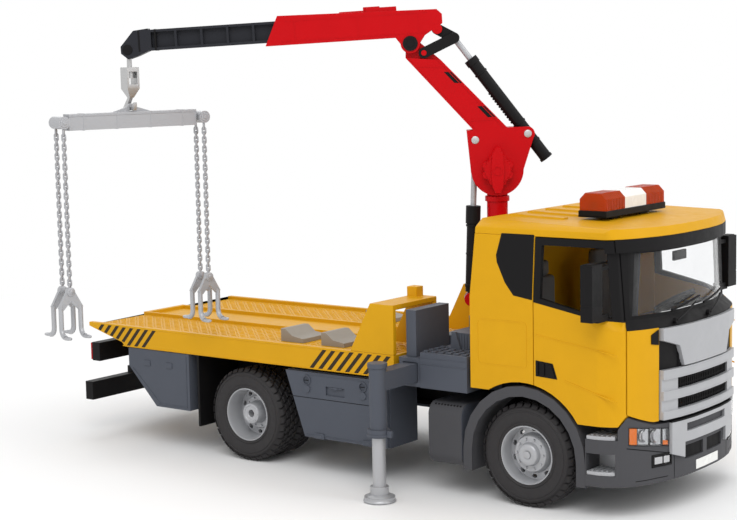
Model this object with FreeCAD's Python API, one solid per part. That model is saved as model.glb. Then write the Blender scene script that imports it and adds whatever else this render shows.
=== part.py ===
"""Toy tow truck in 1:16 with a folding loader crane, as separate pieces.

Millimetres. The origin is on the ground under the middle of the rear axle,
+X points to the front, +Y to the truck's left and +Z up.
"""
import FreeCAD, Part
import math
import os

V = FreeCAD.Vector

# Driving sizes of the whole truck
WHEELBASE = 231.0
HALF_WIDTH = 80.0
TYRE_R = 33.0
TYRE_W = 19.0
WHEEL_OUT = 76.0
TWIN_GAP = 2.0
RAIL_TOP = 62.0
DECK_TOP = 88.0
SLEW_DEG = 35.0

# Clearances shared by many pieces
RUN_GAP = 0.3
SHAFT_GAP = 0.05
SLIDE_GAP = 0.4
OVERRUN = 5.0
DRAFT = 0.6

# Wheels: tyre section, rims and axle shafts
RIM_R = 19.0
RIM_WALL = 2.0
TYRE_SHOULDER = 2.0
RIM_SHY = 0.8
DISC_T = 2.4
FRONT_DISC_RISE = 5.0
FRONT_DISC_IN = 10.0
FRONT_HUB_R = 7.0
FRONT_HUB_OUT = 4.0
FRONT_RING_R = 11.5
REAR_DISC_IN = 14.0
REAR_HUB_R = 7.5
REAR_HUB_LONG = 10.0
RIM_HOLE_LONG = 4.2
RIM_HOLE_WIDE = 2.6
RIM_HOLE_AT_SHARE = 0.755
RIM_HOLES = 10
SHAFT_R = 2.5

# Chassis ladder
RAIL_OUT = 27.0
RAIL_W = 6.0
RAIL_H = 17.0
RAIL_WEB = 2.2
RAIL_REAR = -150.0
RAIL_FRONT = 300.0
CROSS_W = 10.0
CROSS_H = 10.0
CROSS_AT = (-120.0, -40.0, 45.0, 100.0)
BEAM_W = 14.0
BEAM_HALF_H = 6.5
FRONT_BEAM_HALF = 50.0
REAR_BEAM_HALF = 34.0
HANGER_W = 5.0
HANGER_LONG = 9.0
DIFF_R = 11.5
DIFF_HALF = 9.0
SUB_W = 6.0
REAR_BAR_X = -166.0
REAR_BAR_D = 8.0
REAR_BAR_HALF = 72.0
REAR_BAR_LOW = 26.0
REAR_BAR_HIGH = 40.0
JAW_HALF = 9.0
JAW_LONG = 12.0
JAW_H = 13.0
JAW_PIN_R = 2.5
JAW_LOW = 44.0
ENGINE_FRONT = 292.0
ENGINE_LONG = 46.0
ENGINE_HALF = 17.0
ENGINE_LOW = 42.0
ENGINE_TOP = 80.0
ENGINE_HEAD_H = 8.0

# Load bed
BED_REAR = -151.0
BED_FRONT = 133.0
BED_SIDE_LOW = 72.3
BED_WALL = 3.0
BED_RIM = 4.0
BED_PLATE = 3.0
BED_SINK = 2.5
BED_STRIP_HALF = 22.0
BED_RIB_AT = (-90.0, -45.0, 0.0, 45.0, 95.0)
BED_TAIL_CUT = 34.0
CHOCK_LONG = 20.0
CHOCK_WIDE = 26.0
CHOCK_HIGH = 9.0
CHOCK_AT = 22.0
CHOCK_GAP = 36.0

# Inverted-U guards at the front corners of the bed
HOOP_REAR_LOW = 97.0
HOOP_REAR_TOP = 114.0
HOOP_TOP = 121.0
HOOP_IN = 50.0
HOOP_WALL = 3.5
HOOP_POST = 8.0
HOOP_POST_H = 7.0

# Boxes under the bed
TOOL_REAR = 40.0
TOOL_CHAMFER = 16.0
TOOL_FRONT = 127.0
TOOL_LOW = 24.6
TOOL_TOP = 70.5
TOOL_IN = 46.0
TOOL_WALL = 2.5
TOOL_DOOR_T = 3.0
TOOL_HANDLE_LONG = 16.0
TOOL_HANDLE_H = 6.0
TOOL_HANDLE_DEEP = 1.4
LOCK_R = 2.6
LOCK_OUT = 1.0
LOCK_AT = 24.0
BACK_BOX_REAR = -111.0
BACK_BOX_FRONT = -48.0
BACK_BOX_LOW = 30.5
BACK_BOX_BEVEL = 27.0
BACK_BOX_IN = 50.0
LAMP_X = -152.0
LAMP_T = 8.0
LAMP_LONG = 34.0
LAMP_H = 14.0
LAMP_LOW = 58.0
LENS_T = 2.0
FLAP_X = -44.0
FLAP_T = 2.0
FLAP_LOW = 20.0
TANK_REAR = 160.0
TANK_GAP = 1.0
TANK_LOW = 20.0
TANK_TOP = 60.0
TANK_IN = 42.0
TANK_ROUND = 8.0
STRAP_W = 3.0
STRAP_T = 0.8

# Outriggers with their legs
LEG_X = 144.7
LEG_REACH = 113.4
LEG_TUBE_R = 5.6
LEG_TUBE_LOW = 42.0
LEG_TUBE_TOP = 89.0
LEG_ROD_R = 4.3
LEG_RING_R = 7.0
LEG_RING_H = 5.0
LEG_LIFT = 28.0
PAD_R = 10.0
PAD_H = 3.5
PAD_NECK_R = 6.0
PAD_NECK_H = 6.5
ARM_LOW = 72.0
ARM_TOP = 84.0
ARM_HALF = 5.5
ARM_STROKE = 24.0
HOUSE_WALL = 3.0
HOUSE_OUT = 78.0
STEP_FRONT = 190.0
STEP_TOP = 92.0

# Crane base behind the cab
BASE_REAR = 137.0
BASE_FRONT = 187.0
BASE_HALF = 34.0
BASE_TOP = 96.0
TURRET_R = 20.0
TURRET_H = 10.0
CONSOLE_REAR = 139.0
CONSOLE_FRONT = 147.0
CONSOLE_IN = 36.0
CONSOLE_OUT = 74.0
CONSOLE_TOP = 118.0

# Crane column, in the crane's own frame: the boom runs along -X
MAST_X = 162.8
COLUMN_R = 7.0
COLUMN_FLANGE_R = 15.0
COLUMN_FLANGE_H = 5.0
HEAD_Z = 205.4
HEAD_R = 9.5
HEAD_FLAT = 6.8
HEAD_HALF = 4.0
HEAD_BORE_R = 3.0
LIFT_FOOT_OUT = 18.3
LIFT_FOOT_Z = 118.0
LIFT_EAR_R = 4.6
EAR_T = 2.4

# Main boom
BOOM_CHEEK_R = 17.5
BOOM_HALF = 7.5
LIFT_EYE = (14.5, 225.4)
FOLD_FOOT = (-20.5, 229.1)
ELBOW = (56.6, 290.0)
LINK_LOW = (47.7, 283.6)
LINK_HIGH = (38.8, 299.2)
LINK_APEX = (27.6, 293.1)
BOOM_UPPER_FOOT = (-6.9, 233.4)
BOOM_UPPER_TOP = (36.5, 278.7)
BOOM_LOWER_FOOT = (15.5, 231.8)
BOOM_LOWER_TOP = (60.0, 280.5)
EYE_R = 4.6
ELBOW_R = 6.5
NECK_R = 5.4
NECK_HALF = 3.6
PIN_R = 1.8
KNOB_R = 10.5
KNOB_OUT = 7.0
KNOB_LOBES = 8
KNOB_LOBE_DEEP = 1.9

# Cylinders of the crane
BARREL_R = 4.1
ROD_R = 2.0
COLLAR_R = 5.0
COLLAR_H = 12.0
LIFT_BARREL_TOP = 181.0
FOLD_TAIL = 21.0
FOLD_ROD_SHOW = 18.0
EYE_T = 4.4

# Links between main boom, second boom and the fold cylinder
LINK_T = 1.6
LINK_R = 3.6
LUG_R = 3.4
LINK_LOW_IN = 5.4
LINK_HIGH_IN = 2.9

# Second boom and its extension, along the second boom's own line
TELE_DROP_DEG = 2.6
TELE_BACK = 22.0
TELE_FRONT_TOP = 87.0
TELE_FRONT_LOW = 96.0
TELE_BOTTOM = 4.3
TELE_CUT_X = 9.0
TELE_CUT_Z = 12.0
TELE_TOP_BACK = 21.4
TELE_TOP_FRONT = 23.8
TELE_HALF = 7.5
TELE_WALL = 1.7
TELE_END = 11.0
COVER_BACK = 8.0
COVER_LONG = 20.0
COVER_H = 3.6
COVER_HALF = 5.0
INNER_LOW = 6.5
INNER_TOP = 20.4
INNER_IN = 68.0
INNER_OUT = 174.0
INNER_HALF = 5.4
RIB_T = 1.8
POCKET_DEEP = 3.6
POCKETS = 6
TIP_PIN = (188.5, 8.0)
TIP_HALF = 5.4
TIP_SLOT_HALF = 2.4

# Hook under the tip: shank with its nut, turning cage and bent hook
HOOK_EYE_R = 3.4
HOOK_EYE_T = 4.2
SHANK_R = 1.7
NUT_R = 2.6
NUT_H = 4.0
CAGE_DROP = 11.5
CAGE_HALF = 4.6
CAGE_H = 14.4
CAGE_PLATE = 3.0
CAGE_WINDOW_HALF = 3.0
CAGE_TAPER_H = 6.0
CAGE_NECK_HALF = 1.6
HOOK_WIRE = 2.2
HOOK_HALF_T = 1.3
HOOK_BACK = 8.0
HOOK_FRONT = 6.0
HOOK_DEEP = 8.5
HOOK_TIP_RISE = 3.4

# Lifting beam with four chains and cradles
BEAM_HALF_LONG = 49.0
BEAM_H = 10.8
BEAM_HALF_W = 4.0
BEAM_TONGUE_HALF = 2.4
BEAM_LUG_HALF = 7.6
BEAM_LUG_TOP_HALF = 1.6
BEAM_LUG_T = 2.4
BEAM_LUG_OVER = 2.4
BEAM_BOSS_AT = 54.0
BEAM_BOSS_R = 4.2
BEAM_HEADING_DEG = -50.0
CHAIN_SPLIT = 7.0
CHAIN_LINK_LONG = 16.0
CHAIN_LINK_W = 3.6
CHAIN_WIRE_R = 0.65
CHAIN_LINKS = 7
CRADLE_HIGH = 34.0
CRADLE_OUT = 12.0
CRADLE_WIRE_R = 1.8
CRADLE_HALF = 9.0

# Cab body
CAB_REAR = 193.0
CAB_FRONT = 316.0
CAB_LOW = 73.0
CAB_WALL = 3.0
CAB_NOSE_LOW = 65.4
DOOR_LOW = 58.2
BELT_REAR = 131.0
BELT_FRONT = 120.3
ROOF_REAR = 180.0
ROOF_FRONT = 177.0
ROOF_FRONT_X = 300.0
ROOF_REAR_X = 196.0
ROOF_HALF = 74.0
ROOF_EDGE = 5.0
ROOF_SPLIT = 171.0
WALL_HALF_TOP = 76.5
ARCH_R = 47.0
SEAM = 0.5
ROOF_RIBS = 5
ROOF_RIB_W = 6.0
ROOF_RIB_H = 1.2
ROOF_RIB_PITCH = 22.0
FLOOR_LOW = 84.0
FLOOR_T = 3.0
FLOOR_GAP = 2.0

# The nose from above: how far back from the front each share of the half width lies
NOSE_BACK = (0.0, 0.4, 2.0, 4.5, 6.7, 9.0, 11.7, 15.0, 19.0, 24.0, 30.0, 33.0)
NOSE_OUT_SHARES = (0.0, 0.225, 0.4, 0.55, 0.625, 0.712, 0.788, 0.862, 0.925, 0.969, 0.995, 1.0)

# The nose from the side: foot, scuttle, windscreen, visor and roof lip
NOSE_FOOT = 59.0
NOSE_FOOT_BACK = 8.0
SCUTTLE_LOW = 116.5
SCREEN_FOOT = 122.0
SCREEN_BACK_LOW = 7.0
SCREEN_BACK_TOP = 8.6
VISOR_LOW = 163.0
VISOR_BACK = 5.0
ROOF_LIP_BACK = 9.0

# Doors
DOOR_REAR = 239.5
DOOR_FRONT = 299.5
DOOR_SLANT_X = 295.5
DOOR_SILL_FRONT_X = 295.8
DOOR_TOP_FRONT_X = 292.8
DOOR_DEEP = 18.0
HINGE_ROOM_LONG = 13.5
HINGE_ROOM_HALF = 60.0
FRAME_W = 5.0
MIRROR_X = 287.0
MIRROR_OUT = 97.0
MIRROR_IN = 85.0
MIRROR_LONG = 8.0
MIRROR_LOW = 124.0
MIRROR_TOP = 158.0
MIRROR_SPLIT = 134.0
MIRROR_ARM = 2.2

# Windscreen and grille
SCREEN_T = 1.4
SCREEN_SET = 0.8
SCREEN_EDGE_X = 297.3
SCREEN_LOW = 124.0
SCREEN_TOP = 161.5
GRILLE_HALF = 49.0
GRILLE_END_HALF = 34.0
GRILLE_BACK = 2.4
PANEL_LOW = 91.0
PANEL_MID = 104.0
PANEL_WING = 108.5
PANEL_LOW_HALF = 29.0
BAR_OUT = 2.2
END_OUT = 1.0
BARS = ((84.3, 90.3), (71.4, 77.2), (59.6, 64.8))

# Bumper with its side housings, lamps and the lower bright frame
BUMPER_LOW = 21.0
BUMPER_WALL = 3.5
BUMPER_SHY = 1.8
BUMPER_ARM_LONG = 10.0
BUMPER_ARM_H = 7.0
LAMP_IN = 41.0
LAMP_OUT = 70.0
LAMP_LOW_IN = 42.5
LAMP_LOW_OUT = 46.5
LAMP_TOP_IN = 53.8
LAMP_TOP_OUT = 57.8
LAMP_DEEP = 2.0
LAMP_PROUD = 0.8
LOWER_HALF = 41.0
LOWER_TOP = 57.0
LOWER_TIP_HALF = 28.0
LOWER_TIP = 33.5
LOWER_MID = 43.0
LOWER_EDGE = 37.5
SLIT_HALF = 26.0
SLIT_LOW = 49.5
SLIT_TOP = 54.5
TOW_HALF = 25.0
TOW_GAP_HALF = 2.5
TOW_LOW = 31.5
TOW_TOP = 40.0
TOW_DEEP = 1.2

# Front fenders and steps
FENDER_IN = 38.0
FENDER_OUT = 44.6
FENDER_LOW = 19.0
FENDER_DEEP = 26.0
FENDER_SKIN = 2.0
TREAD_LONG = 17.3
TREAD_Z = (28.0, 49.9)
TREAD_T = 2.4
TREAD_DEEP = 16.0
STEP_WINDOW_TOP = 41.5

# Light bar
BAR_X = 258.0
BAR_HALF_D = 10.0
BAR_HALF = 39.0
BAR_LOW = 180.0
LENS_LOW = 184.0
LENS_TOP = 195.0
LENS_SPLIT = 14.0

# Cab inside
SEAT_X = 214.0
SEAT_LONG = 30.0
SEAT_WIDE = 32.0
SEAT_Y = 38.0
SEAT_H = 14.0
SEAT_BACK_T = 8.0
SEAT_BACK_H = 40.0
HEADREST_H = 10.0
HEADREST_HALF = 9.0
DASH_X = 288.0
DASH_H = 34.0
WHEEL_RING_R = 13.0
WHEEL_WIRE_R = 1.4
WHEEL_HUB_R = 3.5
WHEEL_TILT_DEG = 30.0
WHEEL_SIDES = 24
COLUMN_WIRE_R = 2.0

TANK_FRONT = WHEELBASE - FENDER_OUT - TANK_GAP
BUMPER_REAR = WHEELBASE + FENDER_OUT + RUN_GAP
COLUMN_BARE_TOP = HEAD_Z - BOOM_CHEEK_R - 2 * RUN_GAP

X = V(1, 0, 0)
Y = V(0, 1, 0)
Z = V(0, 0, 1)
ORIGIN = V(0, 0, 0)


def box(x0, x1, y0, y1, z0, z1):
    return Part.makeBox(x1 - x0, y1 - y0, z1 - z0, V(x0, y0, z0))


def both(half_from, half_to, x0, x1, z0, z1):
    """The same block on the right and on the left of the truck."""
    right = box(x0, x1, -half_to, -half_from, z0, z1)
    return [right, box(x0, x1, half_from, half_to, z0, z1)]


def side(points, y0, y1):
    """An outline seen from the side, as (x, z), pulled from y0 to y1."""
    corners = [V(x, y0, z) for x, z in points]
    face = Part.Face(Part.makePolygon(corners + corners[:1]))
    return face.extrude(V(0, y1 - y0, 0))


def plan(points, z0, z1):
    """An outline seen from above, as (x, y), pulled from z0 to z1."""
    corners = [V(x, y, z0) for x, y in points]
    face = Part.Face(Part.makePolygon(corners + corners[:1]))
    return face.extrude(V(0, 0, z1 - z0))


def front(points, x0, x1):
    """An outline seen from the front, as (y, z), pulled from x0 to x1."""
    corners = [V(x0, y, z) for y, z in points]
    face = Part.Face(Part.makePolygon(corners + corners[:1]))
    return face.extrude(V(x1 - x0, 0, 0))


def post(x, y, z0, z1, radius):
    return Part.makeCylinder(radius, z1 - z0, V(x, y, z0), Z)


def pin(x, z, y0, y1, radius):
    return Part.makeCylinder(radius, y1 - y0, V(x, y0, z), Y)


def between(start, end, radius):
    """A round bar from one point to another."""
    way = end - start
    return Part.makeCylinder(radius, way.Length, start, way)


def spin(points, centre, axis):
    """A ring turned about an axis along Y, from (radius, y) points."""
    corners = [V(centre.x + r, y, centre.z) for r, y in points]
    face = Part.Face(Part.makePolygon(corners + corners[:1]))
    return face.revolve(centre, axis, 360)


def round_points(radius, sides):
    """A regular outline about the origin, for a ring that needs few faces."""
    turns = [2 * math.pi * i / sides for i in range(sides)]
    return [(radius * math.cos(t), radius * math.sin(t)) for t in turns]


def join(pieces):
    first = pieces[0]
    if len(pieces) > 1:
        first = first.multiFuse(pieces[1:])
    return first.removeSplitter()


def apart(pieces):
    """Solids that share a node and do not touch."""
    return Part.makeCompound([s for p in pieces for s in p.Solids])


def mirrored(shape):
    return shape.mirror(ORIGIN, Y)


def pair(shape):
    return apart([shape, mirrored(shape)])


def save(name, shape):
    shape.exportStep("parts/" + name + ".step")


# Wheels

def tyre(x, y_out, shoulder):
    """A tyre on the right whose outer face is at y_out; a twin's inner tyre is square."""
    centre = V(x, 0, TYRE_R)
    y_in = y_out + TYRE_W
    inner = RIM_R + SHAFT_GAP
    points = [(inner, y_out), (TYRE_R - shoulder, y_out)]
    if shoulder > 0:
        points.append((TYRE_R, y_out + shoulder))
    points += [(TYRE_R, y_in), (inner, y_in)]
    return spin(points, centre, Y)


def rim_holes(x, y0, y1):
    at = RIM_R * RIM_HOLE_AT_SHARE
    cuts = []
    for i in range(RIM_HOLES):
        cut = box(at - RIM_HOLE_LONG / 2, at + RIM_HOLE_LONG / 2, y0, y1, -RIM_HOLE_WIDE / 2,
                  RIM_HOLE_WIDE / 2)
        cut.rotate(ORIGIN, Y, 360 * i / RIM_HOLES)
        cut.translate(V(x, 0, TYRE_R))
        cuts.append(cut)
    return Part.makeCompound(cuts)


def front_rim():
    """The domed rim of the front wheel, on the right."""
    centre = V(WHEELBASE, 0, TYRE_R)
    y_out = -WHEEL_OUT + RIM_SHY
    y_in = -WHEEL_OUT + TYRE_W - RIM_SHY
    bore = SHAFT_R + SHAFT_GAP
    dish = y_out + FRONT_DISC_IN
    face = dish - FRONT_DISC_RISE
    points = [
        (RIM_R, y_out),
        (RIM_R, y_in),
        (RIM_R - RIM_WALL, y_in),
        (RIM_R - RIM_WALL, dish + DISC_T),
        (bore, dish + DISC_T),
        (bore, face - FRONT_HUB_OUT),
        (FRONT_HUB_R, face - FRONT_HUB_OUT),
        (FRONT_HUB_R, face),
        (FRONT_RING_R, face),
        (FRONT_RING_R, dish),
        (RIM_R - RIM_WALL, dish),
        (RIM_R - RIM_WALL, y_out),
    ]
    return spin(points, centre, Y).cut(rim_holes(WHEELBASE, dish - DISC_T, dish + 2 * DISC_T))


def rear_rim():
    """The deep rim that carries both rear tyres, on the right."""
    centre = V(0, 0, TYRE_R)
    y_out = -WHEEL_OUT + RIM_SHY
    y_in = -WHEEL_OUT + 2 * TYRE_W + TWIN_GAP - RIM_SHY
    bore = SHAFT_R + SHAFT_GAP
    dish = y_out + REAR_DISC_IN
    points = [
        (RIM_R, y_out),
        (RIM_R, y_in),
        (RIM_R - RIM_WALL, y_in),
        (RIM_R - RIM_WALL, dish + DISC_T),
        (bore, dish + DISC_T),
        (bore, dish - REAR_HUB_LONG),
        (REAR_HUB_R, dish - REAR_HUB_LONG),
        (REAR_HUB_R, dish),
        (RIM_R - RIM_WALL, dish),
        (RIM_R - RIM_WALL, y_out),
    ]
    return spin(points, centre, Y).cut(rim_holes(0, dish - DISC_T, dish + 2 * DISC_T))


def wheels():
    save("front_tyres", pair(tyre(WHEELBASE, -WHEEL_OUT, TYRE_SHOULDER)))
    inner = -WHEEL_OUT + TYRE_W + TWIN_GAP
    outer = tyre(0, -WHEEL_OUT, TYRE_SHOULDER)
    save("rear_tyres", apart([pair(outer), pair(tyre(0, inner, 0))]))
    save("front_rims", pair(front_rim()))
    save("rear_rims", pair(rear_rim()))
    reach = WHEEL_OUT - FRONT_DISC_IN + FRONT_DISC_RISE
    save("front_axle_shaft", pin(WHEELBASE, TYRE_R, -reach, reach, SHAFT_R))
    reach = WHEEL_OUT - REAR_DISC_IN + DISC_T
    save("rear_axle_shaft", pin(0, TYRE_R, -reach, reach, SHAFT_R))


# Chassis

def rail():
    """One channel-section rail on the right, open to the outside."""
    low = RAIL_TOP - RAIL_H
    solid = box(RAIL_REAR, RAIL_FRONT, -RAIL_OUT, -RAIL_OUT + RAIL_W, low, RAIL_TOP)
    groove = box(RAIL_REAR - OVERRUN, RAIL_FRONT + OVERRUN, -RAIL_OUT - OVERRUN,
                 -RAIL_OUT + RAIL_W - RAIL_WEB, low + RAIL_WEB, RAIL_TOP - RAIL_WEB)
    return solid.cut(groove)


def chassis_frame():
    inside = RAIL_OUT - RAIL_W
    mid = RAIL_TOP - RAIL_H / 2
    pieces = [rail(), mirrored(rail())]
    for x in CROSS_AT:
        pieces.append(box(x, x + CROSS_W, -inside, inside, mid - CROSS_H / 2, mid + CROSS_H / 2))
    pieces.append(box(RAIL_REAR, RAIL_REAR + CROSS_W, -inside, inside, RAIL_TOP - RAIL_H, RAIL_TOP))
    deck_under = DECK_TOP - BED_SINK - BED_PLATE
    pieces += both(inside, inside + SUB_W, BED_REAR + BED_TAIL_CUT + BED_WALL,
                   BED_FRONT - BED_WALL, RAIL_TOP, deck_under)
    jaw_top = JAW_LOW + JAW_H
    jaw = box(RAIL_REAR - JAW_LONG, RAIL_REAR, -JAW_HALF, JAW_HALF, JAW_LOW, jaw_top)
    hole = post(RAIL_REAR - JAW_LONG / 2, 0, JAW_LOW - OVERRUN, jaw_top + OVERRUN, JAW_PIN_R)
    pieces.append(jaw.cut(hole))
    return join(pieces)


def axle_beam(x, reach):
    low = RAIL_TOP - RAIL_H
    beam = box(x - BEAM_W / 2, x + BEAM_W / 2, -reach, reach, TYRE_R - BEAM_HALF_H,
               TYRE_R + BEAM_HALF_H)
    pieces = [beam] + both(RAIL_OUT - HANGER_W, RAIL_OUT, x - HANGER_LONG, x + HANGER_LONG,
                           TYRE_R + BEAM_HALF_H, low)
    return pieces


def bored(shape, x, reach):
    return shape.cut(pin(x, TYRE_R, -reach - OVERRUN, reach + OVERRUN, SHAFT_R + SHAFT_GAP))


def front_axle_beam():
    return bored(join(axle_beam(WHEELBASE, FRONT_BEAM_HALF)), WHEELBASE, FRONT_BEAM_HALF)


def rear_axle_housing():
    pieces = axle_beam(0, REAR_BEAM_HALF)
    pieces.append(pin(0, TYRE_R, -DIFF_HALF, DIFF_HALF, DIFF_R))
    return bored(join(pieces), 0, REAR_BEAM_HALF)


def engine():
    rear = ENGINE_FRONT - ENGINE_LONG
    block = box(rear, ENGINE_FRONT, -ENGINE_HALF, ENGINE_HALF, ENGINE_LOW,
                ENGINE_TOP - ENGINE_HEAD_H)
    head = box(rear + HANGER_W, ENGINE_FRONT - HANGER_W, -ENGINE_HALF + HANGER_W,
               ENGINE_HALF - HANGER_W, ENGINE_TOP - ENGINE_HEAD_H, ENGINE_TOP)
    feet = both(ENGINE_HALF, RAIL_OUT - RAIL_W, rear + HANGER_W, rear + 2 * HANGER_W,
                RAIL_TOP - RAIL_H, RAIL_TOP - HANGER_W)
    return join([block, head] + feet)


def rear_bar():
    """The underrun bar at the tail, on two arms under the rails."""
    bar = box(REAR_BAR_X, REAR_BAR_X + REAR_BAR_D, -REAR_BAR_HALF, REAR_BAR_HALF,
              REAR_BAR_LOW, REAR_BAR_HIGH)
    low = RAIL_TOP - RAIL_H
    arms = both(RAIL_OUT - RAIL_W, RAIL_OUT, REAR_BAR_X, RAIL_REAR + CROSS_W, REAR_BAR_HIGH, low)
    return join([bar] + arms)


def rear_lamps():
    """The lamp housings under the tail, each on the rail's end."""
    x1 = LAMP_X + LAMP_T
    out = HALF_WIDTH - BED_WALL
    house = box(LAMP_X, x1, -out, -out + LAMP_LONG, LAMP_LOW, LAMP_LOW + LAMP_H)
    stay = box(LAMP_X, x1, -out + LAMP_LONG, -RAIL_OUT, LAMP_LOW, LAMP_LOW + LAMP_H / 2)
    return pair(join([house, stay.cut(rail())]))


def rear_lamp_lenses():
    out = HALF_WIDTH - BED_WALL - DRAFT
    lens = box(LAMP_X - LENS_T, LAMP_X, -out, -out + LAMP_LONG - 2 * DRAFT,
               LAMP_LOW + DRAFT, LAMP_LOW + LAMP_H - DRAFT)
    return pair(lens)


def chassis():
    save("chassis_frame", chassis_frame())
    save("axle_beams", apart([front_axle_beam(), rear_axle_housing()]))
    save("engine", engine())
    save("rear_crossbar", apart([rear_bar(), rear_lamps()]))
    save("rear_lamp_lenses", rear_lamp_lenses())


# Load bed

def bed_profile(inset):
    """The bed seen from the side, pulled in by the inset below the deck."""
    low = BED_SIDE_LOW + inset
    tail = BED_REAR + BED_TAIL_CUT
    under = DECK_TOP - BED_WALL
    return [
        (BED_REAR + inset, DECK_TOP),
        (BED_REAR + inset, under),
        (tail + inset, low + BED_WALL - inset),
        (tail + BED_WALL + inset, low),
        (BED_FRONT - inset, low),
        (BED_FRONT - inset, DECK_TOP),
    ]


def bed():
    """A hollow moulding: deck plate, skirts all round and ribs below."""
    body = side(bed_profile(0), -HALF_WIDTH, HALF_WIDTH)
    deck_under = DECK_TOP - BED_SINK - BED_PLATE
    tail = BED_REAR + BED_TAIL_CUT + BED_WALL
    hollow = box(tail, BED_FRONT - BED_WALL, -HALF_WIDTH + BED_WALL, HALF_WIDTH - BED_WALL,
                 BED_SIDE_LOW - OVERRUN, deck_under)
    body = body.cut(hollow)
    ribs = []
    for x in BED_RIB_AT:
        rib = both(RAIL_OUT, HALF_WIDTH - BED_WALL, x, x + BED_WALL, BED_SIDE_LOW, deck_under)
        ribs += rib
    body = join([body] + ribs)
    run_in = BED_STRIP_HALF
    run_out = HALF_WIDTH - BED_RIM
    for y0, y1 in ((-run_out, -run_in), (run_in, run_out)):
        body = body.cut(box(BED_REAR - OVERRUN, BED_FRONT - BED_WALL, y0, y1,
                            DECK_TOP - BED_SINK, DECK_TOP + OVERRUN))
    strip = box(BED_REAR + BED_RIM, BED_FRONT - BED_WALL, -run_in + BED_WALL, run_in - BED_WALL,
                DECK_TOP - BED_SINK, DECK_TOP + OVERRUN)
    return body.cut(strip)


def chock(x, y):
    """A wedge that holds a wheel on the deck, at its low corner x and middle y."""
    z = DECK_TOP - BED_SINK
    points = [
        (x, z),
        (x + CHOCK_LONG, z),
        (x + CHOCK_LONG, z + CHOCK_HIGH / 3),
        (x + CHOCK_LONG / 2, z + CHOCK_HIGH / 2),
        (x + CHOCK_LONG / 5, z + CHOCK_HIGH),
        (x, z + CHOCK_HIGH),
    ]
    return side(points, y - CHOCK_WIDE / 2, y + CHOCK_WIDE / 2)


def chocks():
    middle = (BED_STRIP_HALF + HALF_WIDTH - BED_RIM) / 2
    near = chock(CHOCK_AT, -middle)
    far = chock(CHOCK_AT + CHOCK_GAP, -middle)
    return apart([pair(near), pair(far)])


def hoop():
    """An inverted-U guard at the front corner of the bed, on the right."""
    z = DECK_TOP
    outer = [
        (HOOP_REAR_LOW, z),
        (HOOP_REAR_TOP, HOOP_TOP),
        (BED_FRONT, HOOP_TOP),
        (BED_FRONT, z),
    ]
    lean = HOOP_REAR_TOP - HOOP_REAR_LOW
    shell = side(outer, -HALF_WIDTH, -HALF_WIDTH + HOOP_IN)
    window = side([
        (HOOP_REAR_LOW - OVERRUN, z - OVERRUN),
        (HOOP_REAR_LOW - OVERRUN, HOOP_TOP - HOOP_WALL),
        (BED_FRONT + OVERRUN, HOOP_TOP - HOOP_WALL),
        (BED_FRONT + OVERRUN, z - OVERRUN),
    ], -HALF_WIDTH + HOOP_WALL, -HALF_WIDTH + HOOP_IN - HOOP_WALL)
    stub_x = BED_FRONT - lean / 2
    stub = box(stub_x - HOOP_POST, stub_x, -HALF_WIDTH + HOOP_IN - HOOP_WALL - HOOP_POST,
               -HALF_WIDTH + HOOP_IN - HOOP_WALL, HOOP_TOP - HOOP_WALL, HOOP_TOP + HOOP_POST_H)
    return join([shell.cut(window), stub])


def load_bed():
    save("load_bed", bed())
    save("wheel_chocks", chocks())
    save("bed_guards", pair(hoop()))


# Boxes and lamps below the bed

def tool_outline(inset):
    return [
        (TOOL_REAR + inset, TOOL_TOP - inset),
        (TOOL_REAR + TOOL_CHAMFER + inset, TOOL_LOW + inset),
        (TOOL_FRONT - inset, TOOL_LOW + inset),
        (TOOL_FRONT - inset, TOOL_TOP - inset),
    ]


def toolbox():
    """The box on the right, open to the outside, with a strut to the rail."""
    out = -HALF_WIDTH + TOOL_DOOR_T + RUN_GAP
    body = side(tool_outline(0), out, -TOOL_IN)
    body = body.cut(side(tool_outline(TOOL_WALL), out - OVERRUN, -TOOL_IN - TOOL_WALL))
    hung = box(TOOL_REAR + TOOL_CHAMFER, TOOL_FRONT - TOOL_CHAMFER, -TOOL_IN,
               -RAIL_OUT, RAIL_TOP - RAIL_H, RAIL_TOP)
    return join([body, hung])


def toolbox_door():
    """The flap on the right, with locks and a handle recess."""
    out = -HALF_WIDTH
    leaf = side(tool_outline(SEAM), out, out + TOOL_DOOR_T)
    mid = (TOOL_REAR + TOOL_FRONT) / 2
    high = TOOL_TOP - LOCK_AT / 2
    recess = box(mid - TOOL_HANDLE_LONG / 2, mid + TOOL_HANDLE_LONG / 2, out - OVERRUN,
                 out + TOOL_HANDLE_DEEP, high - TOOL_HANDLE_H / 2, high + TOOL_HANDLE_H / 2)
    leaf = leaf.cut(recess)
    locks = [pin(mid + s * LOCK_AT, high, out - LOCK_OUT, out + LOCK_OUT, LOCK_R) for s in (-1, 1)]
    return join([leaf] + locks)


def back_box():
    """The storage box behind the rear wheel, on the right."""
    bevel = BACK_BOX_REAR + BACK_BOX_BEVEL
    top = BED_SIDE_LOW - RUN_GAP
    points = [
        (BACK_BOX_REAR, top),
        (BACK_BOX_REAR, top - BACK_BOX_BEVEL / 2),
        (bevel, BACK_BOX_LOW),
        (BACK_BOX_FRONT - TOOL_WALL, BACK_BOX_LOW),
        (BACK_BOX_FRONT - TOOL_WALL, top),
    ]
    body = side(points, -HALF_WIDTH + DRAFT, -BACK_BOX_IN)
    hung = box(bevel, BACK_BOX_FRONT - BACK_BOX_BEVEL / 2, -BACK_BOX_IN, -RAIL_OUT,
               RAIL_TOP - RAIL_H, RAIL_TOP)
    return join([body, hung])


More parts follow.
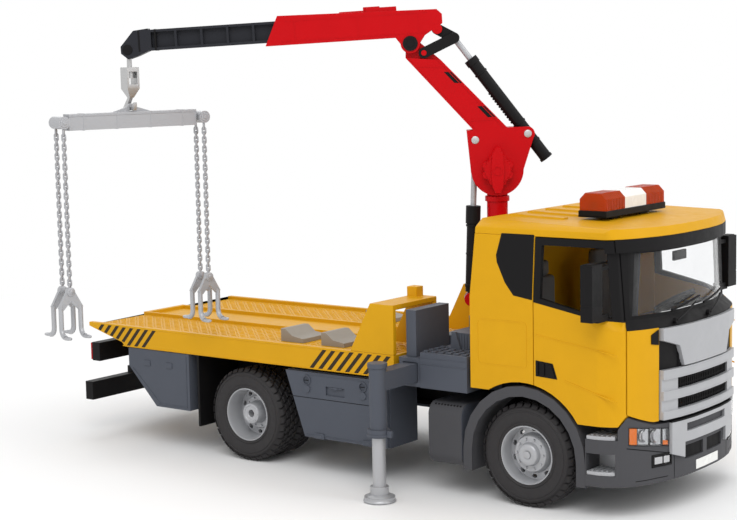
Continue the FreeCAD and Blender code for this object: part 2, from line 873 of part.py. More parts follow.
def mudguard():
    """The flap behind the rear wheels, hung from the bed's box."""
    out = WHEEL_OUT + TWIN_GAP
    inner = WHEEL_OUT - 2 * TYRE_W - TWIN_GAP
    return box(FLAP_X, FLAP_X + FLAP_T, -out, -inner, FLAP_LOW, BED_SIDE_LOW - RUN_GAP)


def tank():
    """The box tank between crane and cab, on the right, with two straps."""
    body = box(TANK_REAR, TANK_FRONT, -HALF_WIDTH + STRAP_T, -TANK_IN, TANK_LOW, TANK_TOP)
    body = body.makeFillet(TANK_ROUND, [e for e in body.Edges if lengthwise(e, -TANK_IN)])
    hung = box(TANK_REAR + STRAP_W, TANK_FRONT - STRAP_W, -TANK_IN, -RAIL_OUT,
               RAIL_TOP - RAIL_H, TANK_TOP)
    return join([body, hung])


def lengthwise(edge, y_in):
    """True for an edge along X on the outer side of a tank."""
    low = edge.BoundBox
    return low.XLength > TANK_ROUND and low.YLength < SEAM and low.YMax < y_in - SEAM


def boxes():
    save("toolboxes", pair(toolbox()))
    save("toolbox_door_right", toolbox_door())
    save("toolbox_door_left", mirrored(toolbox_door()))
    save("side_boxes", apart([pair(back_box()), pair(tank())]))
    save("rear_mudguards", pair(mudguard()))


# Outriggers

def outrigger_housing():
    """The cross beam that both arms slide in, with a step block each side."""
    x0 = LEG_X - ARM_HALF - SLIDE_GAP - HOUSE_WALL
    x1 = LEG_X + ARM_HALF + SLIDE_GAP + HOUSE_WALL
    low = ARM_LOW - SLIDE_GAP - HOUSE_WALL
    top = ARM_TOP + SLIDE_GAP + HOUSE_WALL
    out = -HOUSE_OUT
    body = box(x0, x1, out, -BASE_HALF, low, top)
    tunnel = box(LEG_X - ARM_HALF - SLIDE_GAP, LEG_X + ARM_HALF + SLIDE_GAP, out - OVERRUN,
                 -BASE_HALF - HOUSE_WALL, ARM_LOW - SLIDE_GAP, ARM_TOP + SLIDE_GAP)
    step = box(x1, STEP_FRONT, -HALF_WIDTH + DRAFT, -BASE_HALF, low, STEP_TOP)
    return join([body.cut(tunnel), step])


def outrigger_arm():
    """The sliding arm on the right with the tube that guides its leg."""
    inner = BASE_HALF + HOUSE_WALL + SLIDE_GAP + ARM_STROKE
    arm = box(LEG_X - ARM_HALF, LEG_X + ARM_HALF, -LEG_REACH, -inner, ARM_LOW, ARM_TOP)
    tube = post(LEG_X, -LEG_REACH, LEG_TUBE_LOW, LEG_TUBE_TOP, LEG_TUBE_R)
    bore = post(LEG_X, -LEG_REACH, LEG_TUBE_LOW - OVERRUN, LEG_TUBE_TOP - EAR_T,
                LEG_ROD_R + SHAFT_GAP)
    collar = post(LEG_X, -LEG_REACH, LEG_TUBE_LOW, LEG_TUBE_LOW + LEG_RING_H, LEG_RING_R)
    return join([arm, tube, collar]).cut(bore)


def leg():
    """The leg on the right with its round pad on the ground."""
    rod_top = LEG_TUBE_TOP - EAR_T - LEG_LIFT - RUN_GAP
    rod = post(LEG_X, -LEG_REACH, PAD_H, rod_top, LEG_ROD_R)
    neck = post(LEG_X, -LEG_REACH, PAD_H, PAD_H + PAD_NECK_H, PAD_NECK_R)
    foot = post(LEG_X, -LEG_REACH, 0, PAD_H, PAD_R)
    return join([rod, neck, foot])


def outriggers():
    save("outrigger_housings", pair(outrigger_housing()))
    save("outrigger_arm_right", outrigger_arm())
    save("outrigger_arm_left", mirrored(outrigger_arm()))
    save("outrigger_leg_right", leg())
    save("outrigger_leg_left", mirrored(leg()))


# Crane. Every piece is drawn with the boom along -X over the truck's middle
# line, and then turned about the mast to where it stands.

def placed(shape):
    shape = shape.copy()
    shape.translate(V(MAST_X, 0, 0))
    shape.rotate(V(MAST_X, 0, 0), Z, SLEW_DEG)
    return shape


def reach(point):
    """A point given as (reach, height), with the reach along -X."""
    return (-point[0], point[1])


def eye(point, radius, y0, y1):
    x, z = reach(point)
    return pin(x, z, y0, y1, radius)


def crane_base():
    """The pedestal between bed and cab, with the round turret seat."""
    body = box(BASE_REAR, BASE_FRONT, -BASE_HALF, BASE_HALF, RAIL_TOP, BASE_TOP)
    seat = post(MAST_X, 0, BASE_TOP, BASE_TOP + TURRET_H, TURRET_R)
    return join([body, seat])


def consoles():
    """Upright plates with the crane's levers, beside the pedestal."""
    low = ARM_TOP + SLIDE_GAP + HOUSE_WALL
    plate = box(CONSOLE_REAR, CONSOLE_FRONT, -CONSOLE_OUT, -CONSOLE_IN, low, CONSOLE_TOP)
    return pair(plate)


def column():
    """The turning column: flange, tube, head plate and the lift cylinder's ears."""
    z0 = BASE_TOP + TURRET_H + RUN_GAP
    flange = post(0, 0, z0, z0 + COLUMN_FLANGE_H, COLUMN_FLANGE_R)
    tube = post(0, 0, z0, COLUMN_BARE_TOP, COLUMN_R)
    web = box(-HEAD_FLAT, HEAD_FLAT, -HEAD_HALF, HEAD_HALF, COLUMN_BARE_TOP - COLUMN_R, HEAD_Z)
    head = pin(0, HEAD_Z, -HEAD_HALF, HEAD_HALF, HEAD_R)
    head = head.cut(box(-HEAD_R - OVERRUN, -HEAD_FLAT, -HEAD_HALF, HEAD_HALF,
                        HEAD_Z - HEAD_R, HEAD_Z + HEAD_R))
    bore = pin(0, HEAD_Z, -HEAD_HALF - OVERRUN, HEAD_HALF + OVERRUN, HEAD_BORE_R + SHAFT_GAP)
    body = join([flange, tube, web, head]).cut(bore)
    inner = EYE_T / 2 + RUN_GAP
    ears = []
    for y0, y1 in ((-inner - EAR_T, -inner), (inner, inner + EAR_T)):
        ear = pin(-LIFT_FOOT_OUT, LIFT_FOOT_Z, y0, y1, LIFT_EAR_R)
        arm = box(-LIFT_FOOT_OUT, 0, y0, y1, LIFT_FOOT_Z - LIFT_EAR_R, LIFT_FOOT_Z + LIFT_EAR_R)
        ears += [ear, arm]
    stub = pin(-LIFT_FOOT_OUT, LIFT_FOOT_Z, -inner, inner, PIN_R)
    return join([body] + ears + [stub])


def main_boom():
    """The red boom: cheeks on the head pin, ears for both cylinders, elbow neck."""
    outline = [reach(p) for p in (BOOM_UPPER_FOOT, BOOM_UPPER_TOP, BOOM_LOWER_TOP,
                                  BOOM_LOWER_FOOT)]
    beam = side(outline, -BOOM_HALF, BOOM_HALF)
    cheek = pin(0, HEAD_Z, -BOOM_HALF, BOOM_HALF, BOOM_CHEEK_R)
    left = eye(LIFT_EYE, EYE_R, -BOOM_HALF, BOOM_HALF)
    right = eye(FOLD_FOOT, EYE_R, -BOOM_HALF, BOOM_HALF)
    web = side([
        reach((FOLD_FOOT[0], FOLD_FOOT[1] + EYE_R)),
        reach(BOOM_UPPER_FOOT),
        reach((BOOM_LOWER_FOOT[0] + EYE_R, BOOM_LOWER_FOOT[1])),
        reach((BOOM_CHEEK_R, HEAD_Z)),
        reach((-BOOM_CHEEK_R, HEAD_Z)),
        reach((FOLD_FOOT[0] - EYE_R, FOLD_FOOT[1])),
    ], -BOOM_HALF, BOOM_HALF)
    foot = join([cheek, left, right, web])
    slot = HEAD_HALF + RUN_GAP
    foot = foot.cut(box(-BOOM_CHEEK_R - OVERRUN, BOOM_CHEEK_R + OVERRUN, -slot, slot,
                        HEAD_Z - BOOM_CHEEK_R - OVERRUN, HEAD_Z + HEAD_R + RUN_GAP))
    rod_slot = EYE_T / 2 + RUN_GAP
    for point in (LIFT_EYE, FOLD_FOOT):
        x, z = reach(point)
        room = EYE_R + RUN_GAP
        foot = foot.cut(pin(x, z, -rod_slot, rod_slot, room + RUN_GAP))
    x, z = reach(LIFT_EYE)
    foot = foot.cut(box(x - EYE_R, x + EYE_R, -rod_slot, rod_slot, HEAD_Z, z))
    foot = foot.cut(fold_room())
    beam = beam.cut(fold_room())
    neck = eye(ELBOW, NECK_R, -NECK_HALF, NECK_HALF)
    bridge = side([
        reach(BOOM_UPPER_TOP),
        reach((ELBOW[0] - ELBOW_R / 2, ELBOW[1] + ELBOW_R / 2)),
        reach((ELBOW[0] + ELBOW_R / 2, ELBOW[1] - ELBOW_R / 2)),
        reach(BOOM_LOWER_TOP),
    ], -NECK_HALF, NECK_HALF)
    low_eye = eye(LINK_LOW, LINK_R, -NECK_HALF, NECK_HALF)
    body = join([foot, beam, neck, bridge, low_eye])
    pins = [
        pin(0, HEAD_Z, -BOOM_HALF, BOOM_HALF, HEAD_BORE_R),
        eye(LIFT_EYE, PIN_R, -BOOM_HALF, BOOM_HALF),
        eye(FOLD_FOOT, PIN_R, -BOOM_HALF, BOOM_HALF),
        eye(LINK_LOW, PIN_R, -LINK_LOW_IN - LINK_T, LINK_LOW_IN + LINK_T),
    ]
    body = join([body] + pins)
    return body.cut(eye(ELBOW, PIN_R + SHAFT_GAP, -BOOM_HALF, BOOM_HALF))


def fold_line():
    """The fold cylinder's line: from its foot pin to the links' apex."""
    x0, z0 = reach(FOLD_FOOT)
    x1, z1 = reach(LINK_APEX)
    start = V(x0, 0, z0)
    return start, V(x1, 0, z1) - start


def fold_room():
    """The space that the fold barrel swings in between the boom's cheeks."""
    start, way = fold_line()
    step = V(way).normalize()
    across = V(-step.z, 0, step.x)
    half = BARREL_R + 2 * RUN_GAP
    low = start - step * (FOLD_TAIL + OVERRUN)
    high = start + step * way.Length
    corners = [low - across * half, low + across * half, high + across * half,
               high - across * half]
    return side([(c.x, c.z) for c in corners], -half, half)


def lift_knob():
    """The lobed knob on the head pin, on the crane's right."""
    y0 = -BOOM_HALF - KNOB_OUT
    outline = []
    for i in range(3 * KNOB_LOBES):
        turn = 2 * math.pi * i / (3 * KNOB_LOBES)
        at = KNOB_R if i % 3 else KNOB_R - KNOB_LOBE_DEEP
        outline.append((at * math.cos(turn), HEAD_Z + at * math.sin(turn)))
    return side(outline, y0, y0 + KNOB_OUT)


def lift_axis():
    x1, z1 = reach(LIFT_EYE)
    foot = V(-LIFT_FOOT_OUT, 0, LIFT_FOOT_Z)
    return foot, V(x1, 0, z1) - foot


def lift_barrel():
    foot, way = lift_axis()
    step = V(way).normalize()
    top = (LIFT_BARREL_TOP - LIFT_FOOT_Z) / step.z
    barrel = between(foot, foot + step * top, BARREL_R)
    collar = between(foot + step * (top - COLLAR_H), foot + step * top, COLLAR_R)
    ring = pin(foot.x, foot.z, -EYE_T / 2, EYE_T / 2, LIFT_EAR_R)
    below = box(foot.x - COLLAR_R - OVERRUN, foot.x + COLLAR_R + OVERRUN, -COLLAR_R - OVERRUN,
                COLLAR_R + OVERRUN, foot.z - LIFT_EAR_R - OVERRUN, foot.z + LIFT_EAR_R + RUN_GAP)
    body = join([join([barrel, collar]).cut(below), ring,
                 box(foot.x - EYE_T / 2, foot.x + EYE_T / 2, -EYE_T / 2, EYE_T / 2,
                     foot.z, foot.z + LIFT_EAR_R + 2 * RUN_GAP)])
    bore = between(foot + step * (LIFT_EAR_R + OVERRUN), foot + step * (top + OVERRUN),
                   ROD_R + SHAFT_GAP)
    return body.cut(bore).cut(pin(foot.x, foot.z, -BOOM_HALF, BOOM_HALF, PIN_R + SHAFT_GAP))


def lift_rod():
    foot, way = lift_axis()
    step = V(way).normalize()
    end = foot + way
    start = foot + step * (way.Length * 0.5)
    rod = between(start, end, ROD_R)
    ring = pin(end.x, end.z, -EYE_T / 2, EYE_T / 2, EYE_R)
    return join([rod, ring]).cut(pin(end.x, end.z, -BOOM_HALF, BOOM_HALF, PIN_R + 2 * RUN_GAP))


def fold_barrel():
    """The fold cylinder's barrel, with its trunnion eye on the boom's foot pin."""
    start, way = fold_line()
    step = V(way).normalize()
    low = start - step * FOLD_TAIL
    high = start + step * (way.Length - FOLD_ROD_SHOW)
    barrel = between(low, high, BARREL_R)
    ring = pin(start.x, start.z, -EYE_T / 2, EYE_T / 2, EYE_R)
    bore = between(start + step * (EYE_R + PIN_R), high + step * OVERRUN, ROD_R + SHAFT_GAP)
    body = join([barrel, ring]).cut(bore)
    return body.cut(pin(start.x, start.z, -BOOM_HALF, BOOM_HALF, PIN_R + SHAFT_GAP))


def fold_rod():
    start, way = fold_line()
    step = V(way).normalize()
    end = start + way
    rod = between(start + step * (way.Length / 2), end - step * (PIN_R + 3 * RUN_GAP), ROD_R)
    ring = pin(end.x, end.z, -EYE_T / 2, EYE_T / 2, LINK_R)
    return join([rod, ring]).cut(pin(end.x, end.z, -BOOM_HALF, BOOM_HALF, PIN_R + 2 * RUN_GAP))


def link_plates(first, second, inner, radius):
    """Two flat plates, one each side, with round ends on two pins."""
    x0, z0 = reach(first)
    x1, z1 = reach(second)
    way = V(x1 - x0, 0, z1 - z0)
    across = V(-way.z, 0, way.x).normalize() * radius
    plates = []
    for y0, y1 in ((-inner - LINK_T, -inner), (inner, inner + LINK_T)):
        ends = [pin(x0, z0, y0, y1, radius), pin(x1, z1, y0, y1, radius)]
        bar = side([(x0 + across.x, z0 + across.z), (x1 + across.x, z1 + across.z),
                    (x1 - across.x, z1 - across.z), (x0 - across.x, z0 - across.z)], y0, y1)
        plates.append(join(ends + [bar]))
    return plates


def link_lower():
    """The lower link carries the apex pin."""
    plates = link_plates(LINK_LOW, LINK_APEX, LINK_LOW_IN, LINK_R)
    x, z = reach(LINK_APEX)
    apex = pin(x, z, -LINK_LOW_IN - LINK_T, LINK_LOW_IN + LINK_T, PIN_R)
    body = join(plates + [apex])
    return body.cut(eye(LINK_LOW, PIN_R + SHAFT_GAP, -BOOM_HALF - OVERRUN, BOOM_HALF + OVERRUN))


def link_upper():
    plates = link_plates(LINK_HIGH, LINK_APEX, LINK_HIGH_IN, LINK_R)
    body = apart(plates)
    body = body.cut(eye(LINK_HIGH, PIN_R + SHAFT_GAP, -BOOM_HALF, BOOM_HALF))
    return body.cut(eye(LINK_APEX, PIN_R + 2 * RUN_GAP, -BOOM_HALF, BOOM_HALF))


def tele(shape):
    """Moves a shape drawn along the second boom to its slope at the elbow."""
    shape = shape.copy()
    shape.rotate(ORIGIN, Y, -TELE_DROP_DEG)
    x, z = reach(ELBOW)
    shape.translate(V(x, 0, z))
    return shape


def second_boom():
    """The box-section boom with elbow ears, link lugs and the raised cover."""
    outline = [
        (TELE_CUT_X, TELE_BOTTOM),
        (TELE_BACK, TELE_CUT_Z),
        (TELE_BACK, TELE_TOP_BACK - TELE_WALL * 2),
        (TELE_BACK - TELE_WALL * 2, TELE_TOP_BACK),
        (-TELE_FRONT_TOP, TELE_TOP_FRONT),
        (-TELE_FRONT_LOW, TELE_BOTTOM),
    ]
    body = side(outline, -TELE_HALF, TELE_HALF)
    cavity = box(-TELE_FRONT_LOW - OVERRUN, TELE_END, -INNER_HALF - SLIDE_GAP,
                 INNER_HALF + SLIDE_GAP, INNER_LOW - SLIDE_GAP, INNER_TOP + SLIDE_GAP)
    cover = box(-COVER_BACK - COVER_LONG, -COVER_BACK, -COVER_HALF, COVER_HALF, TELE_TOP_BACK,
                TELE_TOP_BACK + COVER_H)
    ears = []
    inner = NECK_HALF + RUN_GAP
    for y0, y1 in ((-TELE_HALF, -inner), (inner, TELE_HALF)):
        ears.append(pin(0, 0, y0, y1, ELBOW_R))
        ears.append(side([(ELBOW_R, 0), (ELBOW_R + TELE_BOTTOM, TELE_BOTTOM + TELE_WALL),
                          (-ELBOW_R - TELE_BOTTOM, TELE_BOTTOM + TELE_WALL), (-ELBOW_R, 0)], y0, y1))
    elbow_pin = pin(0, 0, -TELE_HALF, TELE_HALF, PIN_R)
    neck_room = pin(0, 0, -inner, inner, ELBOW_R)
    body = join([body, cover] + ears).cut(cavity).cut(neck_room)
    body = join([tele(join([body, elbow_pin])), eye(LINK_HIGH, LUG_R, -TELE_HALF, TELE_HALF)])
    room = LINK_R + 2 * RUN_GAP
    slots = []
    x, z = reach(LINK_HIGH)
    for y0, y1 in ((-LINK_HIGH_IN - LINK_T - RUN_GAP, -LINK_HIGH_IN + RUN_GAP),
                   (LINK_HIGH_IN - RUN_GAP, LINK_HIGH_IN + LINK_T + RUN_GAP)):
        slots.append(pin(x, z, y0, y1, room))
        slots.append(box(x - room, x + TELE_BACK, y0, y1, z - TELE_BACK, z + room))
    body = body.cut(Part.makeCompound(slots))
    high_pin = eye(LINK_HIGH, PIN_R, -TELE_HALF, TELE_HALF)
    return join([body, high_pin])


def extension():
    """The grey inner boom with open pockets on both sides and the tip fork."""
    body = box(-INNER_OUT, -INNER_IN, -INNER_HALF, INNER_HALF, INNER_LOW, INNER_TOP)
    length = INNER_OUT - INNER_IN
    pitch = (length - RIB_T) / POCKETS
    cuts = []
    for i in range(POCKETS):
        x1 = -INNER_IN - RIB_T - i * pitch
        for y0, y1 in ((-INNER_HALF - OVERRUN, -INNER_HALF + POCKET_DEEP),
                       (INNER_HALF - POCKET_DEEP, INNER_HALF + OVERRUN)):
            cuts.append(box(x1 - pitch + RIB_T, x1, y0, y1, INNER_LOW + RIB_T, INNER_TOP - RIB_T))
    body = body.cut(Part.makeCompound(cuts))
    px, pz = TIP_PIN
    tip = side([
        (-INNER_OUT, INNER_TOP + RIB_T / 2),
        (-INNER_OUT, INNER_LOW),
        (-px + EYE_R + RIB_T, pz - EYE_R),
        (-px, pz - EYE_R - RIB_T),
        (-px - EYE_R, pz - EYE_R / 2),
        (-px - EYE_R, pz + EYE_R / 2),
        (-px + EYE_R, INNER_TOP),
    ], -TIP_HALF, TIP_HALF)
    gap = box(-px - 2 * EYE_R, -px + HOOK_EYE_R + RUN_GAP + RIB_T, -TIP_SLOT_HALF, TIP_SLOT_HALF,
              pz - 2 * EYE_R, pz + HOOK_EYE_R + RUN_GAP + RIB_T)
    tip = tip.cut(gap)
    hang = pin(-px, pz, -TIP_HALF, TIP_HALF, PIN_R)
    return tele(join([body, tip, hang]))


def tip_point():
    """The tip pin's place in the crane's frame, as a vector."""
    mark = Part.Vertex(V(-TIP_PIN[0], 0, TIP_PIN[1]))
    return tele(mark).Point


def cage_top():
    return tip_point().z - CAGE_DROP


def hook_shank():
    """Eye on the tip pin, shank and the nut that the cage turns on."""
    top = tip_point()
    ring = pin(top.x, top.z, -HOOK_EYE_T / 2, HOOK_EYE_T / 2, HOOK_EYE_R)
    nut_top = cage_top() - CAGE_PLATE - RUN_GAP
    shank = post(top.x, 0, nut_top - NUT_H, top.z - PIN_R - RUN_GAP, SHANK_R)
    nut = post(top.x, 0, nut_top - NUT_H, nut_top, NUT_R)
    body = join([ring, shank, nut])
    return body.cut(pin(top.x, top.z, -HOOK_EYE_T, HOOK_EYE_T, PIN_R + SHAFT_GAP))


def square(half, z):
    """A level square wire about the hook's axis."""
    x = tip_point().x
    corners = [V(x - half, -half, z), V(x + half, -half, z), V(x + half, half, z),
               V(x - half, half, z)]
    return Part.makePolygon(corners + corners[:1])


def hook():
    """The cage round the nut, its taper and the bent hook below."""
    x = tip_point().x
    z1 = cage_top()
    z0 = z1 - CAGE_H
    cage = box(x - CAGE_HALF, x + CAGE_HALF, -CAGE_HALF, CAGE_HALF, z0, z1)
    cage = cage.cut(box(x - CAGE_HALF - OVERRUN, x + CAGE_HALF + OVERRUN, -CAGE_WINDOW_HALF,
                        CAGE_WINDOW_HALF, z0 + CAGE_PLATE, z1 - CAGE_PLATE))
    cage = cage.cut(post(x, 0, z1 - CAGE_PLATE - OVERRUN, z1 + OVERRUN, SHANK_R + SHAFT_GAP))
    neck_z = z0 - CAGE_TAPER_H
    taper = Part.makeLoft([square(CAGE_HALF, z0), square(CAGE_NECK_HALF, neck_z)], True, True)
    w = HOOK_WIRE
    low = neck_z - HOOK_DEEP
    bend = side([
        (x - w / 2, neck_z + w / 2),
        (x - HOOK_BACK, low + w),
        (x - HOOK_BACK + w / 2, low),
        (x + HOOK_FRONT - w / 2, low),
        (x + HOOK_FRONT, low + w),
        (x + HOOK_FRONT, low + w + HOOK_TIP_RISE),
        (x + HOOK_FRONT - w, low + w + HOOK_TIP_RISE - w / 2),
        (x + HOOK_FRONT - w, low + w),
        (x - HOOK_BACK + 2 * w, low + w),
        (x + w / 2, neck_z),
        (x + w / 2, neck_z + w / 2),
    ], -HOOK_HALF_T, HOOK_HALF_T)
    return join([cage, taper, bend])


def hook_seat():
    """Where the lifting beam's lug rests on the hook, inside its bend."""
    z = cage_top() - CAGE_H - CAGE_TAPER_H - HOOK_DEEP + HOOK_WIRE
    return V(tip_point().x, 0, z)


def turned(shape):
    """Turns a piece of the harness from along the crane to its own heading."""
    seat = hook_seat()
    shape = shape.copy()
    shape.rotate(seat, Z, BEAM_HEADING_DEG)
    return shape


def beam_top():
    return hook_seat().z - HOOK_WIRE - 2 * SLIDE_GAP


def lifting_beam():
    """The beam: box bar, middle lug on the hook and a cross boss at each end."""
    seat = hook_seat()
    z1 = beam_top()
    z0 = z1 - BEAM_H
    mid = (z0 + z1) / 2
    bar = box(seat.x - BEAM_HALF_W, seat.x + BEAM_HALF_W, -BEAM_HALF_LONG, BEAM_HALF_LONG, z0, z1)
    tongue = box(seat.x - BEAM_TONGUE_HALF, seat.x + BEAM_TONGUE_HALF, -BEAM_BOSS_AT, BEAM_BOSS_AT,
                 mid - BEAM_TONGUE_HALF, mid + BEAM_TONGUE_HALF)
    apex = seat.z + BEAM_LUG_OVER
    lug = front([(-BEAM_LUG_HALF, z1 - SEAM), (-BEAM_LUG_TOP_HALF, apex),
                 (BEAM_LUG_TOP_HALF, apex), (BEAM_LUG_HALF, z1 - SEAM)],
                seat.x - BEAM_LUG_T / 2, seat.x + BEAM_LUG_T / 2)
    room = HOOK_HALF_T + SLIDE_GAP
    eye_hole = box(seat.x - BEAM_LUG_T, seat.x + BEAM_LUG_T, -room, room,
                   seat.z - HOOK_WIRE - SLIDE_GAP, seat.z + SHAFT_GAP)
    bosses = []
    for y in (-BEAM_BOSS_AT, BEAM_BOSS_AT):
        bosses.append(Part.makeCylinder(BEAM_BOSS_R, 2 * CHAIN_SPLIT,
                                        V(seat.x - CHAIN_SPLIT, y, mid), X))
    return join([bar, tongue, lug.cut(eye_hole)] + bosses)


def chain(x, y, z_top):
    """One hanging chain as links that are fused where they touch."""
    pieces = []
    wire = CHAIN_WIRE_R
    half = CHAIN_LINK_W / 2
    z = z_top
    for i in range(CHAIN_LINKS):
        low = z - CHAIN_LINK_LONG
        if i % 2:
            link = box(x - half, x + half, y - wire, y + wire, low, z)
            hole = box(x - half + 2 * wire, x + half - 2 * wire, y - OVERRUN, y + OVERRUN,
                       low + 2 * wire, z - 2 * wire)
        else:
            link = box(x - wire, x + wire, y - half, y + half, low, z)
            hole = box(x - OVERRUN, x + OVERRUN, y - half + 2 * wire, y + half - 2 * wire,
                       low + 2 * wire, z - 2 * wire)
        pieces.append(link.cut(hole))
        z = low + 2 * wire
    return join(pieces), z - 2 * wire


def cradle(x, y, z_top, out):
    """A wheel cradle: a crossbar on two bent prongs with turned-up toes."""
    wire = CRADLE_WIRE_R
    low = z_top - CRADLE_HIGH
    head = box(x - wire, x + wire, y - CRADLE_HALF, y + CRADLE_HALF, z_top - 2 * wire, z_top)
    pieces = [head]
    for s in (-1, 1):
        yy = y + s * (CRADLE_HALF - wire)
        points = [(x - wire, z_top), (x + wire, z_top), (x + wire, low + 2 * wire),
                  (x + CRADLE_OUT, low + 2 * wire), (x + CRADLE_OUT, low), (x - wire, low)]
        if out < 0:
            points = [(2 * x - px, pz) for px, pz in points]
        pieces.append(side(points, yy - wire, yy + wire))
    return join(pieces)


def harness():
    seat = hook_seat()
    z = beam_top() - BEAM_H / 2 - BEAM_BOSS_R - SHAFT_GAP
    chains = []
    cradles = []
    for y in (-BEAM_BOSS_AT, BEAM_BOSS_AT):
        for t in (-1, 1):
            x = seat.x + t * (CHAIN_SPLIT - CHAIN_LINK_W / 2)
            body, end = chain(x, y, z)
            chains.append(body)
            cradles.append(cradle(x, y, end, t))
    save("hook", placed(turned(hook())))
    save("lifting_beam", placed(turned(lifting_beam())))
    save("lifting_chains", placed(turned(apart(chains))))
    save("wheel_cradles", placed(turned(apart(cradles))))


def crane():
    save("crane_base", apart([crane_base(), consoles()]))
    save("crane_column", placed(column()))
    save("main_boom", placed(join([main_boom(), lift_knob()])))
    save("lift_barrel", placed(lift_barrel()))
    save("lift_rod", placed(lift_rod()))
    save("fold_barrel", placed(fold_barrel()))
    save("fold_rod", placed(fold_rod()))
    save("link_lower", placed(link_lower()))
    save("link_upper", placed(link_upper()))
    save("second_boom", placed(second_boom()))
    save("boom_extension", placed(extension()))
    save("hook_shank", placed(hook_shank()))
    harness()


# Cab

def nose_curve(inset):
    """The nose from above, from the side to the middle, pulled in by the inset."""
    half = HALF_WIDTH - inset
    curve = [(CAB_FRONT - inset - back, half * share)
             for back, share in zip(NOSE_BACK, NOSE_OUT_SHARES)]
    return list(reversed(curve))


def nose_outline(rear, inset):
    """The whole plan outline from the given rear to the nose."""
    curve = nose_curve(inset)
    half = curve[0][1]
    mirror = [(x, -y) for x, y in reversed(curve[:-1])]
    return [(rear, half)] + curve + mirror + [(rear, -half)]


def nose_volume(inset):
    """The nose in upright and leaning bands: body, scuttle, screen, visor and roof lip."""
    levels = [
        (DOOR_LOW - OVERRUN, 0),
        (SCUTTLE_LOW - inset, 0),
        (SCREEN_FOOT - inset, SCREEN_BACK_LOW),
        (VISOR_LOW + inset, SCREEN_BACK_TOP),
        (VISOR_LOW + inset, VISOR_BACK),
        (ROOF_SPLIT, VISOR_BACK),
        (ROOF_REAR + OVERRUN, ROOF_LIP_BACK),
    ]
    bands = []
    rear = CAB_REAR - 2 * OVERRUN
    for (z0, back0), (z1, back1) in zip(levels, levels[1:]):
        if z1 > z0:
            corners = [V(x - back0, y, z0) for x, y in nose_outline(rear, inset)]
            face = Part.Face(Part.makePolygon(corners + corners[:1]))
            bands.append(face.extrude(V(back0 - back1, 0, z1 - z0)))
    return join(bands)


def cab_volume(inset):
    """The cab's outer form, or the same form pulled in by an even wall."""
    arch = []
    r = ARCH_R + inset
    start = math.asin((CAB_LOW + inset - TYRE_R) / r)
    stop = math.asin((DOOR_LOW + inset - TYRE_R) / r)
    for i in range(13):
        turn = math.pi - start + (stop - (math.pi - start)) * i / 12
        arch.append((WHEELBASE + r * math.cos(turn), TYRE_R + r * math.sin(turn)))
    slope = (ROOF_FRONT - ROOF_REAR) / (ROOF_FRONT_X - ROOF_REAR_X)
    ahead = CAB_FRONT + OVERRUN
    outline = [(CAB_REAR + inset, CAB_LOW + inset)] + arch + [
        (DOOR_SLANT_X, DOOR_LOW + inset),
        (DOOR_FRONT, CAB_NOSE_LOW + inset),
        (CAB_FRONT - NOSE_FOOT_BACK, NOSE_FOOT + inset),
        (ahead, NOSE_FOOT + inset),
        (ahead, ROOF_FRONT + slope * (ahead - ROOF_FRONT_X) - inset),
        (ROOF_REAR_X + inset, ROOF_REAR - inset),
        (CAB_REAR + inset, BELT_REAR),
    ]
    body = side(outline, -HALF_WIDTH, HALF_WIDTH)
    half = HALF_WIDTH - inset
    low = DOOR_LOW - OVERRUN
    top_half = WALL_HALF_TOP - inset
    roof_half = ROOF_HALF - inset
    cross = front([
        (-half, low), (-half, BELT_REAR), (-top_half, ROOF_REAR - ROOF_EDGE - inset),
        (-roof_half + ROOF_EDGE, ROOF_REAR - inset), (roof_half - ROOF_EDGE, ROOF_REAR - inset),
        (top_half, ROOF_REAR - ROOF_EDGE - inset), (half, BELT_REAR), (half, low),
    ], CAB_REAR - OVERRUN, ahead + OVERRUN)
    return body.common(cross).common(nose_volume(inset))


def cab_walls():
    """Even walls, with the underside open between the side skirts."""
    below = plan(nose_outline(CAB_REAR + CAB_WALL, CAB_WALL), DOOR_LOW - OVERRUN, FLOOR_LOW)
    return cab_volume(0).cut(cab_volume(CAB_WALL)).cut(below)


def belt_z(x):
    """The height of the belt line, which falls towards the front."""
    share = (x - DOOR_REAR) / (DOOR_FRONT - DOOR_REAR)
    return BELT_REAR + (BELT_FRONT - BELT_REAR) * share


def door_outline(inset):
    """The door from the side; it runs out below, where the cab's own edge ends it."""
    return [
        (DOOR_REAR + inset, DOOR_LOW - OVERRUN),
        (DOOR_FRONT - inset, DOOR_LOW - OVERRUN),
        (DOOR_FRONT - inset, SCUTTLE_LOW),
        (DOOR_SILL_FRONT_X - inset, SCREEN_FOOT),
        (DOOR_TOP_FRONT_X - inset, ROOF_SPLIT - inset),
        (DOOR_REAR + inset, ROOF_SPLIT - inset),
    ]


def window_outline():
    w = FRAME_W
    return [
        (DOOR_REAR + w, belt_z(DOOR_REAR) + w / 2),
        (DOOR_SILL_FRONT_X - w, belt_z(DOOR_SILL_FRONT_X) + w / 2),
        (DOOR_TOP_FRONT_X - w, ROOF_SPLIT - w),
        (DOOR_REAR + w, ROOF_SPLIT - w),
    ]


def above_belt(side_to):
    """Everything above the belt line in the door's length."""
    return side([
        (DOOR_REAR - OVERRUN, belt_z(DOOR_REAR - OVERRUN)),
        (DOOR_FRONT + OVERRUN, belt_z(DOOR_FRONT + OVERRUN)),
        (DOOR_FRONT + OVERRUN, ROOF_REAR),
        (DOOR_REAR - OVERRUN, ROOF_REAR),
    ], side_to, 0)


def door_leaf():
    """The right door, cut from the cab's own wall, with its window open."""
    out = -HALF_WIDTH - OVERRUN
    leaf = cab_walls().common(side(door_outline(SEAM), out, -HALF_WIDTH + DOOR_DEEP - SEAM))
    return leaf.cut(side(window_outline(), out, 0))


